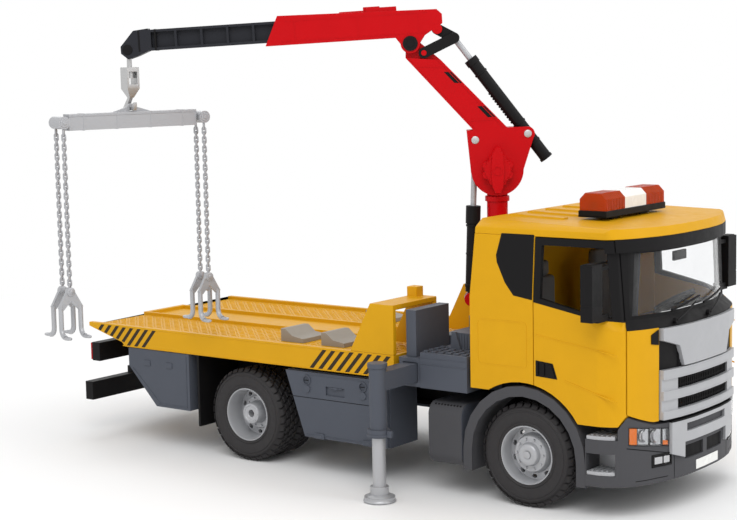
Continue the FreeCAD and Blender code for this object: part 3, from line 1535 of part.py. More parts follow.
def front_frame_region():
    """The room of the black scuttle, pillars and visor round the windscreen."""
    ahead = CAB_FRONT + OVERRUN
    deep = HALF_WIDTH - DOOR_DEEP
    middle = box(DOOR_TOP_FRONT_X - CAB_WALL, ahead, -deep, deep, SCUTTLE_LOW, ROOF_SPLIT)
    return middle.fuse(side([
        (DOOR_TOP_FRONT_X, ROOF_SPLIT),
        (ahead, ROOF_SPLIT),
        (ahead, SCUTTLE_LOW),
        (DOOR_FRONT, SCUTTLE_LOW),
        (DOOR_SILL_FRONT_X, SCREEN_FOOT),
    ], -HALF_WIDTH - OVERRUN, HALF_WIDTH + OVERRUN))


def screen_region(inset):
    return box(SCREEN_EDGE_X + inset, CAB_FRONT + OVERRUN,
               -HALF_WIDTH, HALF_WIDTH, SCREEN_LOW + inset, SCREEN_TOP - inset)


def grille_region(inset):
    half = GRILLE_HALF - inset
    return box(DOOR_FRONT, CAB_FRONT + OVERRUN, -half, half, NOSE_FOOT + inset,
               SCUTTLE_LOW - inset)


def cab_parts():
    walls = cab_walls()
    out = -HALF_WIDTH - OVERRUN
    gate = side(door_outline(0), out, -HALF_WIDTH + DOOR_DEEP)
    roof_cut = box(CAB_REAR - OVERRUN, CAB_FRONT + OVERRUN, out, -out, ROOF_SPLIT,
                   ROOF_REAR + OVERRUN)
    frame_zone = front_frame_region()
    shell = walls.cut(gate).cut(mirrored(gate)).cut(roof_cut).cut(frame_zone)
    shell = shell.cut(grille_region(0))
    ribs = []
    slope = (ROOF_FRONT - ROOF_REAR) / (ROOF_FRONT_X - ROOF_REAR_X)
    for i in range(ROOF_RIBS):
        y = (i - (ROOF_RIBS - 1) / 2) * ROOF_RIB_PITCH
        x0 = ROOF_REAR_X + ROOF_RIB_W
        x1 = BAR_X - BAR_HALF_D - ROOF_RIB_W
        z0 = ROOF_REAR + slope * (x0 - ROOF_REAR_X)
        z1 = ROOF_REAR + slope * (x1 - ROOF_REAR_X)
        ribs.append(side([(x0, z0 - ROOF_RIB_H), (x1, z1 - ROOF_RIB_H), (x1, z1 + ROOF_RIB_H),
                          (x0, z0 + ROOF_RIB_H)], y - ROOF_RIB_W / 2, y + ROOF_RIB_W / 2))
    roof = join([walls.common(roof_cut)] + ribs)
    hole = screen_region(0)
    frame = walls.common(frame_zone).cut(hole)
    glass = cab_volume(SCREEN_SET).cut(cab_volume(SCREEN_SET + SCREEN_T))
    glass = glass.common(screen_region(SHAFT_GAP))
    return shell, roof, frame, glass


def nose_band(deep, shallow, z0, z1):
    """An upright band that follows the nose, between two insets from its outside."""
    outer = plan(nose_outline(BUMPER_REAR, shallow), z0, z1)
    return outer.cut(plan(nose_outline(BUMPER_REAR - OVERRUN, deep), z0 - OVERRUN, z1 + OVERRUN))


def both_ways(points):
    """An outline seen from the front, closed by its own mirror image."""
    mirror = [(-y, z) for y, z in reversed(points)]
    return front(points + mirror, DOOR_FRONT, CAB_FRONT + OVERRUN)


def grille():
    """The grille's dark back, which closes the opening in the nose."""
    band = nose_band(CAB_WALL, CAB_WALL - GRILLE_BACK, NOSE_FOOT, SCUTTLE_LOW)
    return band.common(grille_region(SHAFT_GAP)).common(cab_volume(0))


def grille_bars():
    """The bright panel, the bars and their end pieces in front of the dark back."""
    half = GRILLE_HALF - SEAM
    panel = both_ways([
        (half, SCUTTLE_LOW - SEAM), (half, PANEL_WING), (GRILLE_END_HALF, PANEL_MID),
        (PANEL_LOW_HALF, PANEL_LOW),
    ])
    pieces = [panel]
    for z0, z1 in BARS:
        pieces.append(both_ways([(half, z1), (half, z0)]))
    face = CAB_WALL - GRILLE_BACK
    bright = nose_band(face, -BAR_OUT, NOSE_FOOT, SCUTTLE_LOW).common(Part.makeCompound(pieces))
    ends = [front([(s * half, BARS[2][0]), (s * half, BARS[0][0]), (s * GRILLE_END_HALF, BARS[0][0]),
                   (s * GRILLE_END_HALF, BARS[2][0])], DOOR_FRONT, CAB_FRONT + OVERRUN)
            for s in (-1, 1)]
    dull = nose_band(face, -END_OUT, NOSE_FOOT, SCUTTLE_LOW).common(Part.makeCompound(ends))
    return join([bright, dull])


def hinge_rooms():
    """The rooms behind the doors' front edges, which turn inwards as the doors open."""
    return Part.makeCompound(both(HINGE_ROOM_HALF, HALF_WIDTH, DOOR_FRONT - HINGE_ROOM_LONG,
                                  DOOR_FRONT + SEAM, FLOOR_LOW - OVERRUN, ROOF_SPLIT))


def cab_floor():
    """The floor plate, narrower between the doors so that they swing clear."""
    plate = box(CAB_REAR, CAB_FRONT, -HALF_WIDTH, HALF_WIDTH, FLOOR_LOW, FLOOR_LOW + FLOOR_T)
    rear = box(CAB_REAR, DOOR_REAR - FLOOR_T, -HALF_WIDTH, HALF_WIDTH, FLOOR_LOW,
               FLOOR_LOW + FLOOR_T)
    floor = join([plate.common(cab_volume(CAB_WALL + FLOOR_GAP)),
                  rear.common(cab_volume(CAB_WALL + SHAFT_GAP))])
    return floor.cut(hinge_rooms())


def seats():
    z0 = FLOOR_LOW + FLOOR_T
    base = box(SEAT_X, SEAT_X + SEAT_LONG, -SEAT_Y - SEAT_WIDE / 2, -SEAT_Y + SEAT_WIDE / 2, z0,
               z0 + SEAT_H)
    back = box(SEAT_X, SEAT_X + SEAT_BACK_T, -SEAT_Y - SEAT_WIDE / 2, -SEAT_Y + SEAT_WIDE / 2,
               z0 + SEAT_H, z0 + SEAT_H + SEAT_BACK_H)
    rest = box(SEAT_X, SEAT_X + SEAT_BACK_T, -SEAT_Y - HEADREST_HALF, -SEAT_Y + HEADREST_HALF,
               z0 + SEAT_H + SEAT_BACK_H, z0 + SEAT_H + SEAT_BACK_H + HEADREST_H)
    return pair(join([base, back, rest]))


def dashboard():
    z0 = FLOOR_LOW + FLOOR_T
    half = HALF_WIDTH - CAB_WALL - BEAM_W
    dash = box(DASH_X, CAB_FRONT, -half, half, z0, z0 + DASH_H)
    return dash.common(cab_volume(CAB_WALL + FLOOR_GAP)).cut(hinge_rooms())


def steering_wheel():
    """The wheel on its raked column, in front of the left seat."""
    z0 = FLOOR_LOW + FLOOR_T + DASH_H
    hub = V(DASH_X - WHEEL_RING_R, SEAT_Y, z0 - WHEEL_WIRE_R)
    wire = WHEEL_WIRE_R
    ring = plan(round_points(WHEEL_RING_R + wire, WHEEL_SIDES), -wire, wire)
    ring = ring.cut(plan(round_points(WHEEL_RING_R - wire, WHEEL_SIDES), -2 * wire, 2 * wire))
    disc = Part.makeCylinder(WHEEL_HUB_R, 2 * WHEEL_WIRE_R, V(0, 0, -WHEEL_WIRE_R))
    spokes = []
    for i in range(3):
        turn = 2 * math.pi * i / 3
        spoke = Part.makeBox(WHEEL_RING_R, 2 * wire, wire, V(0, -wire, -wire / 2))
        spoke.rotate(ORIGIN, Z, math.degrees(turn))
        spokes.append(spoke)
    stem = Part.makeCylinder(COLUMN_WIRE_R, 2 * WHEEL_RING_R, V(0, 0, -2 * WHEEL_RING_R))
    wheel = join([ring, disc, stem] + spokes)
    wheel.rotate(ORIGIN, Y, -WHEEL_TILT_DEG)
    wheel.translate(hub)
    return wheel


def light_bar():
    base = box(BAR_X - BAR_HALF_D, BAR_X + BAR_HALF_D, -BAR_HALF, BAR_HALF, BAR_LOW, LENS_LOW)
    feet = both(LENS_SPLIT, LENS_SPLIT + BAR_HALF_D, BAR_X - BAR_HALF_D / 2,
                BAR_X + BAR_HALF_D / 2, ROOF_FRONT, BAR_LOW)
    return join([base] + feet).cut(cab_volume(0))


def lens(y0, y1):
    x0 = BAR_X - BAR_HALF_D + DRAFT
    x1 = BAR_X + BAR_HALF_D - DRAFT
    cut = (LENS_TOP - LENS_LOW) / 3
    points = [(x0, LENS_LOW), (x1, LENS_LOW), (x1, LENS_TOP - cut), (x1 - cut, LENS_TOP),
              (x0 + cut, LENS_TOP), (x0, LENS_TOP - cut)]
    return side(points, y0, y1)


def mirror():
    """The two-piece mirror on the right door with its upper arm and foot."""
    head = box(MIRROR_X - MIRROR_LONG / 2, MIRROR_X + MIRROR_LONG / 2, -MIRROR_OUT, -MIRROR_IN,
               MIRROR_SPLIT + SEAM, MIRROR_TOP)
    small = box(MIRROR_X - MIRROR_LONG / 2, MIRROR_X + MIRROR_LONG / 2, -MIRROR_OUT, -MIRROR_IN,
                MIRROR_LOW, MIRROR_SPLIT - SEAM)
    link = box(MIRROR_X - MIRROR_ARM, MIRROR_X + MIRROR_ARM, -MIRROR_IN - MIRROR_ARM, -MIRROR_IN,
               MIRROR_SPLIT - SEAM, MIRROR_SPLIT + SEAM)
    foot_z = belt_z(MIRROR_X) + MIRROR_ARM
    wall = -HALF_WIDTH + 2 * OVERRUN
    foot = box(MIRROR_X - MIRROR_ARM, MIRROR_X + MIRROR_ARM, -MIRROR_IN - MIRROR_ARM,
               wall, foot_z - MIRROR_ARM, foot_z + MIRROR_ARM)
    rise = box(MIRROR_X - MIRROR_ARM, MIRROR_X + MIRROR_ARM, -MIRROR_IN - MIRROR_ARM,
               -MIRROR_IN, foot_z - MIRROR_ARM, MIRROR_LOW + MIRROR_ARM)
    arm_z = MIRROR_TOP - 2 * MIRROR_ARM
    arm = box(MIRROR_X - MIRROR_ARM, MIRROR_X + MIRROR_ARM, -MIRROR_IN - MIRROR_ARM,
              wall, arm_z, arm_z + MIRROR_ARM)
    return join([head, small, link, foot, rise, arm]).cut(cab_volume(0))


def fender():
    """The grey arch round the right front wheel, with its wheel house skin."""
    outer = []
    inner = []
    for i in range(13):
        turn = math.pi * i / 12
        outer.append((WHEELBASE + FENDER_OUT * math.cos(turn), TYRE_R + FENDER_OUT * math.sin(turn)))
        inner.append((WHEELBASE + FENDER_IN * math.cos(turn), TYRE_R + FENDER_IN * math.sin(turn)))
    ring = [(WHEELBASE + FENDER_OUT, FENDER_LOW)] + outer + [(WHEELBASE - FENDER_OUT, FENDER_LOW),
                                                             (WHEELBASE - FENDER_IN, FENDER_LOW)]
    ring += list(reversed(inner)) + [(WHEELBASE + FENDER_IN, FENDER_LOW)]
    band = side(ring, -HALF_WIDTH + DRAFT, -HALF_WIDTH + FENDER_DEEP)
    hang = box(WHEELBASE - FENDER_OUT, WHEELBASE - FENDER_OUT + BEAM_HALF_H, -HALF_WIDTH + FENDER_DEEP,
               -RAIL_OUT, RAIL_TOP - RAIL_H + RAIL_WEB, RAIL_TOP - RAIL_WEB)
    front_hang = box(WHEELBASE + FENDER_IN, WHEELBASE + FENDER_OUT, -HALF_WIDTH + FENDER_DEEP,
                     -RAIL_OUT, RAIL_TOP - RAIL_H + RAIL_WEB, RAIL_TOP - RAIL_WEB)
    return join([band, hang, front_hang])


def under_nose(z_drop):
    """What lies below the cab's lower edge and above the steps' wall, from the side."""
    ahead = CAB_FRONT + 2 * OVERRUN
    return side([
        (BUMPER_REAR - OVERRUN, TREAD_Z[1]),
        (DOOR_SLANT_X, TREAD_Z[1]),
        (DOOR_SLANT_X, DOOR_LOW - z_drop),
        (DOOR_FRONT, CAB_NOSE_LOW - z_drop),
        (CAB_FRONT - NOSE_FOOT_BACK, NOSE_FOOT - z_drop),
        (ahead, NOSE_FOOT - z_drop),
        (ahead, BUMPER_LOW - OVERRUN),
        (BUMPER_REAR - OVERRUN, BUMPER_LOW - OVERRUN),
    ], -HALF_WIDTH - OVERRUN, HALF_WIDTH + OVERRUN)


def lamp_region(inset):
    """Both headlamps from the front; they fall towards the middle."""
    lamps = []
    for s in (-1, 1):
        lamps.append(front([
            (s * (LAMP_IN + inset), LAMP_LOW_IN + inset), (s * (LAMP_OUT - inset), LAMP_LOW_OUT + inset),
            (s * (LAMP_OUT - inset), LAMP_TOP_OUT - inset), (s * (LAMP_IN + inset), LAMP_TOP_IN - inset),
        ], DOOR_SLANT_X, CAB_FRONT + OVERRUN))
    return Part.makeCompound(lamps)


def bumper():
    """The bumper, its side housings with the steps' windows, and arms to the rails."""
    band = nose_band(BUMPER_WALL, 0, BUMPER_LOW, CAB_NOSE_LOW).common(under_nose(BUMPER_SHY))
    step_x = BUMPER_REAR + SEAM
    window = box(step_x, step_x + TREAD_LONG + SEAM, -HALF_WIDTH - OVERRUN,
                 HALF_WIDTH + OVERRUN, TREAD_Z[0] - SHAFT_GAP, STEP_WINDOW_TOP)
    lamps = nose_band(LAMP_DEEP, -OVERRUN, BUMPER_LOW, CAB_NOSE_LOW).common(lamp_region(0))
    tow = nose_band(TOW_DEEP, -OVERRUN, TOW_LOW, TOW_TOP)
    tow = tow.common(Part.makeCompound(both(TOW_GAP_HALF, TOW_HALF, DOOR_FRONT,
                                            CAB_FRONT + OVERRUN, TOW_LOW, TOW_TOP)))
    under = RAIL_TOP - RAIL_H
    arms = both(RAIL_OUT - RAIL_W, RAIL_OUT, RAIL_FRONT - BUMPER_ARM_LONG,
                CAB_FRONT - BUMPER_WALL, under - BUMPER_ARM_H, under)
    return join([band.cut(window).cut(lamps).cut(tow)] + arms)


def lower_grille():
    """The bright frame on the bumper, with the slit between its two bars."""
    frame = both_ways([
        (LOWER_HALF, LOWER_TOP), (LOWER_HALF, LOWER_EDGE), (LOWER_TIP_HALF, LOWER_TIP),
        (LOWER_TIP_HALF, LOWER_MID),
    ])
    slit = both_ways([(SLIT_HALF, SLIT_TOP), (SLIT_HALF, SLIT_LOW)])
    return nose_band(0, -BAR_OUT, LOWER_TIP, LOWER_TOP).common(frame.cut(slit))


def headlights():
    """Clear lamp covers that follow the corners of the bumper."""
    band = nose_band(LAMP_DEEP - SHAFT_GAP, -LAMP_PROUD, BUMPER_LOW, CAB_NOSE_LOW)
    return band.common(lamp_region(SHAFT_GAP))


def step_treads():
    """Two bright treads below the right door, on a bracket from the rail."""
    out = -HALF_WIDTH + DRAFT
    x0 = BUMPER_REAR + SEAM + SHAFT_GAP
    x1 = x0 + TREAD_LONG
    low, high = TREAD_Z
    mid = out + TREAD_DEEP
    edge = plan(nose_outline(x0 - OVERRUN, DRAFT), 0, CAB_NOSE_LOW)
    pieces = [box(x0, x1, out, mid, z, z + TREAD_T).common(edge) for z in TREAD_Z]
    hang = RAIL_TOP - RAIL_H + RAIL_WEB
    pieces.append(box(x0, x1, mid, mid + FENDER_SKIN, low, high + TREAD_T))
    pieces.append(box(x0 + FENDER_SKIN, x1 - FENDER_SKIN, mid, -RAIL_OUT, hang, hang + RAIL_WEB))
    return pair(join(pieces))


def cab():
    shell, roof, frame, glass = cab_parts()
    save("cab_shell", shell)
    save("cab_roof", roof)
    save("windscreen_frame", frame)
    save("windscreen", glass)
    save("grille_back", grille())
    save("grille_bars", grille_bars())
    save("cab_floor", join([cab_floor(), dashboard(), steering_wheel()]))
    save("seats", seats())
    save("light_bar_base", light_bar())
    amber = lens(-BAR_HALF + DRAFT, -LENS_SPLIT - SHAFT_GAP)
    save("light_bar_amber", pair(amber))
    save("light_bar_white", lens(-LENS_SPLIT, LENS_SPLIT))
    leaf = door_leaf()
    upper = above_belt(-HALF_WIDTH - OVERRUN)
    panel = leaf.cut(upper)
    sash = leaf.common(upper)
    save("door_panel_right", panel)
    save("door_panel_left", mirrored(panel))
    save("door_frame_right", join([sash, mirror()]))
    save("door_frame_left", mirrored(join([sash, mirror()])))
    save("front_fenders", pair(fender()))
    save("step_treads", step_treads())
    save("front_bumper", bumper())
    save("lower_grille", lower_grille())
    save("headlights", headlights())


os.makedirs("parts", exist_ok=True)
wheels()
chassis()
load_bed()
boxes()
outriggers()
crane()
cab()
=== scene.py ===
"""Looks of a toy tow truck with a folding loader crane, laid out as an add-on."""

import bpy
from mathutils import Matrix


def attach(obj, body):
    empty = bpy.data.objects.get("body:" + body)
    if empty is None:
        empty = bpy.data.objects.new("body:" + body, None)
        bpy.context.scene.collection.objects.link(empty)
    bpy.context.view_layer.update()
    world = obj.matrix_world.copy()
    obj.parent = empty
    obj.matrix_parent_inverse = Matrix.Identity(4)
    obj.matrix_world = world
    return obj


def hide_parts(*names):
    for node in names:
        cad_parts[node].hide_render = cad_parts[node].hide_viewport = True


bl_info = {
    "name": "Toy tow truck looks",
    "version": (1, 0, 0),
    "blender": (4, 5, 0),
    "location": "View3D > Sidebar > Tow truck",
    "description": "Finishes, fine pieces and stage for a toy tow truck with a loader crane",
    "category": "Object",
}

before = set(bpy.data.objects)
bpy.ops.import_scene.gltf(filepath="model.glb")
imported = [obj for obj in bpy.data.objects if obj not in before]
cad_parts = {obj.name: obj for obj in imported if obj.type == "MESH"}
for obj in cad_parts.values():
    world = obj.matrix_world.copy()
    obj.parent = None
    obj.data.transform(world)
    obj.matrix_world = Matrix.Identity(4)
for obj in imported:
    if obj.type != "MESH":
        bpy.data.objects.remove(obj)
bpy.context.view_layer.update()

import math

import bmesh
import bpy
from mathutils import Matrix, Vector

MM = 0.001
FULL_TURN = 2 * math.pi
SHARP = math.radians(38)

# The truck's measures, in millimetres
WHEELBASE = 231.0
TYRE_R = 33.0
DECK_Z = 85.5
HALF_WIDTH = 80.0

# The crane's own frame: the boom runs along -X from the mast
MAST_X = 162.8
SLEW_DEG = 35.0
HEAD_Z = 205.4
ELBOW = (-56.6, 290.0)
TELE_DROP_DEG = 2.6
HARNESS_X = -245.27
BEAM_HEADING_DEG = -50.0


def moved(x, z=0.0):
    return Matrix.Translation((x, 0, z))


def turned(degrees, axis="Z"):
    return Matrix.Rotation(math.radians(degrees), 4, axis)


# Places to draw in: the world, its mirror image, and the frames of the crane's parts
WORLD = Matrix.Identity(4)
LEFT = Matrix.Diagonal((1, -1, 1, 1))
BOTH = (WORLD, LEFT)
SIDES = (("right", WORLD), ("left", LEFT))
CRANE = moved(MAST_X) @ turned(SLEW_DEG)
TELE = CRANE @ moved(*ELBOW) @ turned(-TELE_DROP_DEG, "Y")
HARNESS = CRANE @ moved(HARNESS_X) @ turned(BEAM_HEADING_DEG) @ moved(-HARNESS_X)


class Form:
    """Gathers closed bodies in millimetres and turns them into one object."""

    def __init__(self):
        self.bm = bmesh.new()
        self.place = WORLD

    def add(self, verts, faces):
        made = [self.bm.verts.new(self.place @ Vector(v)) for v in verts]
        for face in faces:
            self.bm.faces.new([made[i] for i in face])

    def stack(self, rings, closed=False, gaps=()):
        """Joins rings of points with equal counts; closed joins the last to the first."""
        n, count = len(rings[0]), len(rings)
        faces = []
        if not closed:
            faces = [tuple(range(n)), tuple(range(n * (count - 1), n * count))]
        for r in range(count if closed else count - 1):
            q = (r + 1) % count
            for i in range(n):
                j = (i + 1) % n
                if i not in gaps:
                    faces.append((r * n + i, r * n + j, q * n + j, q * n + i))
        self.add([v for ring in rings for v in ring], faces)

    def prism(self, outline, low, high, axis="y", inset=0.0):
        """An outline pulled along an axis; the inset draws the far end in."""
        cu = sum(p[0] for p in outline) / len(outline)
        cv = sum(p[1] for p in outline) / len(outline)
        size = max(max(abs(p[0] - cu), abs(p[1] - cv)) for p in outline)
        share = 1 - inset / size
        far = [(cu + (u - cu) * share, cv + (v - cv) * share) for u, v in outline]
        self.stack([[along(axis, u, v, low) for u, v in outline],
                    [along(axis, u, v, high) for u, v in far]])

    def boxes(self, *sizes):
        for x0, x1, y0, y1, z0, z1 in sizes:
            self.prism([(x0, z0), (x1, z0), (x1, z1), (x0, z1)], y0, y1)

    def plate(self, outer, holes, low, high, axis="y"):
        """An outline with holes, pulled along an axis."""
        bm = bmesh.new()
        for loop in [outer] + holes:
            made = [bm.verts.new(along(axis, u, v, low)) for u, v in loop]
            for i, vert in enumerate(made):
                bm.edges.new((vert, made[(i + 1) % len(made)]))
        bmesh.ops.triangle_fill(bm, use_beauty=True, use_dissolve=False, edges=bm.edges[:])
        grown = bmesh.ops.extrude_face_region(bm, geom=bm.faces[:])
        step = Vector(along(axis, 0, 0, high - low))
        for item in grown["geom"]:
            if isinstance(item, bmesh.types.BMVert):
                item.co += step
        bm.verts.index_update()
        self.add([v.co.copy() for v in bm.verts], [[v.index for v in f.verts] for f in bm.faces])
        bm.free()

    def lathe(self, profile, centre, axis="y", steps=64):
        """A closed profile of (radius, place along the axis) turned about the axis."""
        ends = [r for r, a in profile]
        gaps = [j for j, r in enumerate(ends) if r == 0 == ends[(j + 1) % len(ends)]]
        self.stack([[around(axis, centre, r, turn, a) for r, a in profile]
                    for turn in turns(steps)], True, gaps)

    def disc(self, centre, radius, low, high, axis="y", steps=24, edge=0.3):
        """A round slab with soft edges."""
        edge = min(edge, radius / 2, (high - low) / 2)
        soft = edge * 0.3
        levels = ((radius - edge, low), (radius - soft, low + soft), (radius, low + edge),
                  (radius, high - edge), (radius - soft, high - soft), (radius - edge, high))
        self.stack([[around(axis, centre, r, turn, a) for turn in turns(steps)]
                    for r, a in levels])

    def tube(self, path, radius, sides=10, closed=False):
        """A round bar along points."""
        points = [Vector(p) for p in path]
        rings = []
        normal = None
        count = len(points)
        for i, point in enumerate(points):
            before = points[i - 1] if i or closed else point
            after = points[(i + 1) % count] if i < count - 1 or closed else point
            way = (after - before).normalized()
            if normal is None:
                normal = way.orthogonal().normalized()
            normal = (normal - way * normal.dot(way)).normalized()
            across = way.cross(normal)
            rings.append([point + normal * radius * math.cos(t) + across * radius * math.sin(t)
                          for t in turns(sides)])
        self.stack(rings, closed)

    def put(self, name, body, finish, edge, nodes):
        """Makes the object, softens its edges and hangs it on a body."""
        bmesh.ops.recalc_face_normals(self.bm, faces=self.bm.faces[:])
        mesh = bpy.data.meshes.new(name)
        self.bm.to_mesh(mesh)
        self.bm.free()
        mesh.transform(Matrix.Scale(MM, 4))
        mesh.shade_smooth()
        mesh.set_sharp_from_angle(angle=SHARP)
        mesh.materials.append(bpy.data.materials[finish])
        made = bpy.data.objects.new(name, mesh)
        bpy.context.scene.collection.objects.link(made)
        if edge:
            soften(made, edge)
            made.modifiers.new("even shading", "WEIGHTED_NORMAL").keep_sharp = True
        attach(made, body)
        if nodes:
            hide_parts(*nodes)


def piece(name, body, finish, draw, edge=0.25, places=BOTH, nodes=(), middle=None):
    """One object on a body, drawn in each of the places; middle is drawn once."""
    form = Form()
    if middle:
        middle(form)
    for place in places:
        form.place = place
        draw(form)
    form.put(name, body, finish, edge, nodes)


def along(axis, u, v, w):
    """A point from two outline values and a place on the axis."""
    if axis == "x":
        return (w, u, v)
    if axis == "y":
        return (u, w, v)
    return (u, v, w)


def around(axis, centre, radius, turn, place):
    """A point about an axis through a centre given as two values."""
    return along(axis, centre[0] + radius * math.cos(turn), centre[1] + radius * math.sin(turn),
                 place)


def turns(count, shift=0.0):
    """Angles spread evenly over a full turn."""
    return [FULL_TURN * (i + shift) / count for i in range(count)]


def arc(u, v, radius, start, stop, steps):
    """Points on an arc in a plane, angles in degrees."""
    made = []
    for i in range(steps + 1):
        t = math.radians(start + (stop - start) * i / steps)
        made.append((u + radius * math.cos(t), v + radius * math.sin(t)))
    return made


def oval(u, v, half_u, half_v, steps, lean):
    made = []
    c, s = math.cos(lean), math.sin(lean)
    for t in turns(steps):
        a, b = half_u * math.cos(t), half_v * math.sin(t)
        made.append((u + a * c - b * s, v + a * s + b * c))
    return made


def rounded(u0, u1, v0, v1, radius, steps=4):
    """A rectangle with round corners."""
    corners = ((u1 - radius, v0 + radius), (u1 - radius, v1 - radius),
               (u0 + radius, v1 - radius), (u0 + radius, v0 + radius))
    made = []
    for quarter, (u, v) in enumerate(corners):
        made += arc(u, v, radius, 90 * quarter - 90, 90 * quarter, steps)
    return made


def soften(made, edge):
    bevel = made.modifiers.new("soft edges", "BEVEL")
    bevel.width = edge * MM
    bevel.segments = 2
    bevel.limit_method = "ANGLE"
    bevel.angle_limit = SHARP


# Finishes: name, and its slot, colour, roughness and metallic share

SLOTS = {}

FINISHES = {
    "yellow moulding": ("yellow_plastic", "yellow", 0.42, 0.0),
    "grey moulding": ("grey_plastic", "blue_grey", 0.46, 0.0),
    "fender moulding": ("fender_plastic", "fender_grey", 0.52, 0.0),
    "black moulding": ("black_plastic", "black", 0.5, 0.0),
    "black gloss": ("black_plastic", "black", 0.2, 0.0),
    "red moulding": ("red_plastic", "red", 0.36, 0.0),
    "silver moulding": ("silver_plastic", "silver", 0.38, 0.35),
    "rim moulding": ("rim_plastic", "silver", 0.36, 0.3),
    "steel": ("steel", "steel", 0.3, 0.85),
    "chrome": ("silver_plastic", "steel", 0.16, 0.9),
    "white lens": ("white_plastic", "white", 0.25, 0.0),
    "seat moulding": ("grey_plastic", "seat_grey", 0.6, 0.0),
    "boom moulding": ("grey_plastic", "boom_grey", 0.42, 0.0),
    "chock moulding": ("grey_plastic", "chock_grey", 0.45, 0.0),
    "stripe print": ("black_plastic", "stripe", 0.45, 0.0),
    "orange lens": ("amber_plastic", "orange", 0.25, 0.0),
    # The dark finish below colours the real grille mesh, seams and dials. It also colours the
    # painted shade in the toolbox handle recesses and the boom's slots.
    "dark mesh": ("black_plastic", "black", 0.65, 0.0),
}
OWN_FINISH = {
    "seats": "seat moulding",
    "wheel_chocks": "chock moulding",
    "boom_extension": "boom moulding",
}
EDGE_OF = {
    "load_bed": 0.35, "cab_shell": 0.35, "cab_roof": 0.5, "front_bumper": 0.08,
    "bed_guards": 0.5, "seats": 1.2, "fold_rod": 0.0, "hook": 0.15, "hook_shank": 0.1,
    "cab_floor": 0.15, "link_upper": 0.15, "link_lower": 0.15, "windscreen": 0.0,
    "door_frame_right": 0.6, "door_frame_left": 0.6, "chassis_frame": 0.2,
}


class TruckColours(bpy.types.PropertyGroup):
    """Colours of the mouldings."""


class TruckSizes(bpy.types.PropertyGroup):
    """Sizes of the fine pieces."""


def srgb(*steps):
    """A colour given in 0 to 255 steps, as Blender's linear values."""
    shares = [step / 255 for step in steps]
    return tuple(s / 12.92 if s <= 0.04045 else ((s + 0.055) / 1.055) ** 2.4 for s in shares)


def colour_prop(label, about, red, green, blue):
    return bpy.props.FloatVectorProperty(name=label, description=about, subtype="COLOR", size=3,
                                         min=0.0, max=1.0, default=srgb(red, green, blue))


def length_prop(label, about, millimetres):
    return bpy.props.FloatProperty(name=label, description=about, subtype="DISTANCE",
                                   unit="LENGTH", min=0.0, default=millimetres * MM)


COLOURS = {
    "yellow": ("Cab, doors and load bed", 212, 157, 18),
    "blue_grey": ("Boxes, outriggers and crane base", 80, 84, 93),
    "fender_grey": ("Bumper and front fenders", 74, 74, 77),
    "black": ("Frame, window frames and cylinders", 20, 19, 20),
    "red": ("Crane column and booms", 190, 0, 10),
    "silver": ("Bars, rims, treads and chains", 172, 173, 176),
    "steel": ("Axles, hook and shank", 190, 190, 192),
    "white": ("Middle of the light bar", 235, 235, 232),
    "amber": ("Lenses of the light bar", 226, 88, 18),
    "orange": ("Turn lamps", 240, 120, 20),
    "rubber": ("Tyres", 38, 36, 37),
    "seat_grey": ("Seats", 104, 103, 103),
    "boom_grey": ("Inner boom", 40, 41, 46),
    "chock_grey": ("Wheel chocks", 150, 143, 132),
    "stripe": ("Slanted stripes on the bed", 52, 44, 33),
    "lamp_red": ("Rear lamp lenses", 190, 20, 20),
}
TruckColours.__annotations__ = {key: colour_prop(key.replace("_", " ").capitalize(), *row)
                                for key, row in COLOURS.items()}

TruckSizes.__annotations__ = {
    "soft_edge": length_prop("Soft edge", "Rounding of the moulded edges", 0.3),
    "tread_high": length_prop("Deck tread", "Height of the raised marks on the runways", 0.45),
    "tyre_groove": length_prop("Tyre groove", "Depth of the grooves in the tyres", 1.6),
    "chain_wire": length_prop("Chain wire", "Radius of the chain's wire", 0.65),
    "stud_high": length_prop("Studs", "Height of the studs on the steps", 1.0),
}


def size(key):
    """A size from the panel, in millimetres."""
    return 1000 * getattr(bpy.context.scene.truck_sizes, key)


def set_values(made, values):
    for socket, value in values.items():
        made.inputs[socket].default_value = value


def node(tree, kind, values=None):
    """A new node with the values of its sockets."""
    made = tree.nodes.new(kind)
    set_values(made, values or {})
    return made


def noise(tree, place, scale, detail=3.0, rough=0.6):
    made = node(tree, "ShaderNodeTexNoise",
                {"Scale": scale, "Detail": detail, "Roughness": rough})
    tree.links.new(place, made.inputs["Vector"])
    return made.outputs["Fac"]


def procedural(name, slot, colour, tones, cloud, rough, grain, bump, values, gloss=None):
    """A material whose colour and gloss vary in soft patches, under a fine raised grain."""
    SLOTS[name] = slot
    made = bpy.data.materials.new(name)
    made.use_nodes = True
    tree = made.node_tree
    link = tree.links.new
    shader = tree.nodes["Principled BSDF"]
    set_values(shader, values)
    place = node(tree, "ShaderNodeTexCoord").outputs["Object"]
    patches = noise(tree, place, *cloud)
    mix = tree.nodes.new("ShaderNodeMix")
    mix.data_type = "RGBA"
    for socket, tone in zip("AB", tones):
        mix.inputs[socket].default_value = (*(min(1.0, c * tone) for c in colour), 1)
    link(patches, mix.inputs["Factor"])
    link(mix.outputs["Result"], shader.inputs["Base Color"])
    spread = node(tree, "ShaderNodeMapRange", {"From Min": 0.3, "From Max": 0.7,
                                               "To Min": rough[0], "To Max": rough[1]})
    link(noise(tree, place, *gloss) if gloss else patches, spread.inputs["Value"])
    link(spread.outputs["Result"], shader.inputs["Roughness"])
    raised = node(tree, "ShaderNodeBump", {"Strength": bump[0], "Distance": bump[1]})
    link(noise(tree, place, *grain), raised.inputs["Height"])
    link(raised.outputs["Normal"], shader.inputs["Normal"])


